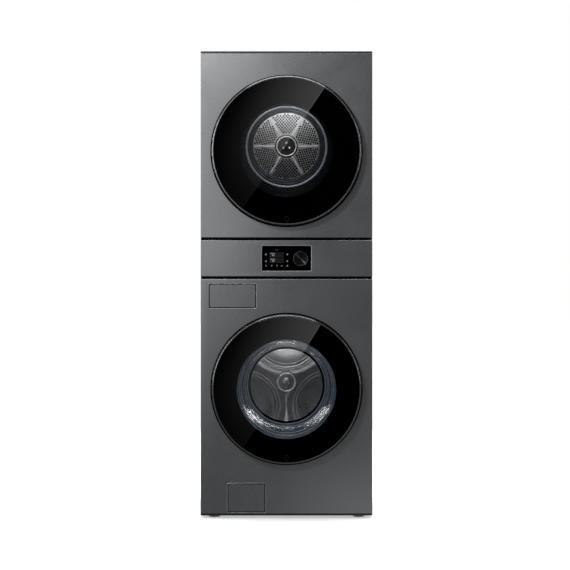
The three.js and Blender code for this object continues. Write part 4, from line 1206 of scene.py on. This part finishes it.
# Lamps that shine on a few pieces and aren't shaded by the rest.
steps = [f"washer_bowl_step_{k}" for k in (1, 2, 3, 4)]
bowl_pieces = ["washer_bowl_wall", "washer_bowl_shoulder", "washer_bowl_lip"] + steps
hub_pieces = ["washer_hub_ring", "washer_drum_hub"]
drum = ["washer_drum_shell", "washer_drum_ridges"] + hub_pieces
disc = ["dryer_disc_ribs", "dryer_hub_ring"] + [f"dryer_hub_screw_{k}" for k in (1, 2, 3)]
hub = (0, FRONT + 0.60, WASHER_Z)
low_z = WASHER_Z - 0.17
side_y, side_z = FRONT + 0.2, WASHER_Z - 0.05
disc_middle, throat_top = (0, disc_y, DRYER_AXIS), (0, FRONT + 0.1, 1.50)
door_middle, dial_middle = (0, FRONT, WASHER_Z), (DIAL[0], FRONT, DIAL[1])
for name, place, target, size, power, receivers in (
    ("throat_lamp", (-0.03, FRONT - 0.10, 1.78), throat_top, (0.3, 0.1), 2.4, ["dryer_throat_ring"]),
    ("rib_lamp", (-0.05, FRONT + 0.16, DRYER_AXIS + 0.16), disc_middle, (0.05, 0.05), 3.2, disc),
    ("drum_glow", (0, FRONT + 0.20, WASHER_Z + 0.26), hub, (0.14, 0.05), 0.30, drum),
    ("hub_glow", (-0.02, FRONT + 0.30, WASHER_Z + 0.10), hub, (0.04, 0.04), 0.35, hub_pieces),
    ("ridge_glow", (0, FRONT + 0.15, WASHER_Z + 0.20), hub, (0.3, 0.05), 0.25, ["washer_drum_ridges"]),
    ("spoke_glow", (0, FRONT + 0.30, low_z), (0, FRONT + 0.6, low_z), (0.010, 0.14), 0.09, drum),
    ("drum_left", (-0.24, side_y, side_z), hub, (0.05, 0.3), 0.04, drum),
    ("drum_right", (0.24, side_y, side_z), hub, (0.05, 0.3), 0.03, drum),
    ("bowl_glow", (0, -1.6, 0.9), door_middle, (0.8, 0.8), 9.0, bowl_pieces),
    ("dial_glow", (-0.50, -2.2, 1.62), dial_middle, (0.06, 0.06), 16.0, ["dial_knob"]),
):
    area(name, place, target, size, power, receivers).data.use_shadow = False


def bowl_bounce(angle, depth, plane):
    """Where the view of a point on the bowl's wall goes on to, at a depth behind the front."""

    def wall_point(a, d):
        y = FRONT + d
        radius = 0.192 - 0.026 * (d - 0.024) / 0.064
        return Vector((radius * math.cos(a), y, WASHER_Z + bowl_rise(y) + radius * math.sin(a)))

    here = wall_point(angle, depth)
    along = wall_point(angle, depth + 0.001) - wall_point(angle, depth - 0.001)
    across = wall_point(angle + 0.01, depth) - wall_point(angle - 0.01, depth)
    normal = along.cross(across).normalized()
    view = (here - EYE).normalized()
    away = view - 2 * view.dot(normal) * normal
    return here + away * (FRONT + plane - here.y) / away.y


# Streaks of light behind the washer's bowl, which only its wall mirrors.
STREAK_PARTS = 8
for name, start, end, near, far, strength in (
    ("streak_top", 78, 102, 0.034, 0.050, 60.0),
    ("streak_bottom", 259, 281, 0.036, 0.056, 45.0),
    ("streak_bottom_inner", 256, 284, 0.074, 0.084, 12.0),
    ("streak_left", 214, 242, 0.066, 0.082, 22.0),
    ("streak_left_outer", 212, 240, 0.036, 0.046, 14.0),
    ("streak_right", 300, 330, 0.066, 0.082, 20.0),
    ("streak_right_outer", 300, 326, 0.034, 0.046, 12.0),
):
    angles = [math.radians(start + (end - start) * k / STREAK_PARTS) for k in range(STREAK_PARTS + 1)]
    points = [bowl_bounce(a, depth, 0.16) for depth in (near, far) for a in angles]
    faces = [(k, k + 1, k + STREAK_PARTS + 2, k + STREAK_PARTS + 1) for k in range(STREAK_PARTS)]
    glow = Glow(name, strength, through=True)
    card(name, points, glow, pieces("washer_bowl_wall", *steps), faces=faces)

# A light at the upper left that the dryer door's ring catches.
edge_shape = ((-3.2, 0.7), (-1.3, 0.9), (-1.2, 2.3), (-2.2, 3.3), (-3.2, 2.9))
card(
    "edge_glow",
    [(x, -2.45, z) for x, z in edge_shape],
    Glow("edge_glow", 11.0, through=True),
    pieces("dryer_door_ring", "dryer_door_ring_edge"),
)

# A pale floor, bright enough to run into the backdrop.
floor_mesh = bpy.data.meshes.new("floor")
floor_mesh.from_pydata([(-40, -40, 0), (40, -40, 0), (40, 40, 0), (-40, 40, 0)], [], [(0, 1, 2, 3)])
floor = placed("floor", floor_mesh)
pale = finish("floor", plain(0.85), 0.0, 0.8, 0.01, 3, 0.0)
pale.bsdf.inputs["Emission Color"].default_value = (1, 1, 1, 1)
away = pale.node("ShaderNodeVectorMath", i0=pale.coords)
away.operation = "LENGTH"
ends = {"From_Min": 0.6, "From_Max": 7.0, "To_Min": 0.42, "To_Max": 1.0}
brighter = pale.node("ShaderNodeMapRange", Value=away.outputs["Value"], **ends)
pale.to("Emission Strength", brighter.outputs[0])
floor_mesh.materials.append(pale.material)
floor.visible_glossy = floor.visible_diffuse = False

world = bpy.data.worlds.new("studio")
bpy.context.scene.world = world
world.use_nodes = True
world.node_tree.nodes["Background"].inputs["Color"].default_value = (0.92, 0.96, 1.0, 1)
world.node_tree.nodes["Background"].inputs["Strength"].default_value = 0.2

bm = bmesh.new()
bmesh.ops.create_icosphere(bm, subdivisions=4, radius=60)
dome_mesh = bpy.data.meshes.new("dome")
bm.to_mesh(dome_mesh)
bm.free()
dome_mesh.materials.append(Glow("backdrop").material)
dome = placed("dome", dome_mesh)
dome.visible_diffuse = dome.visible_glossy = dome.visible_shadow = False
dome.visible_transmission = False

bpy.context.scene.view_settings.view_transform = "Standard"
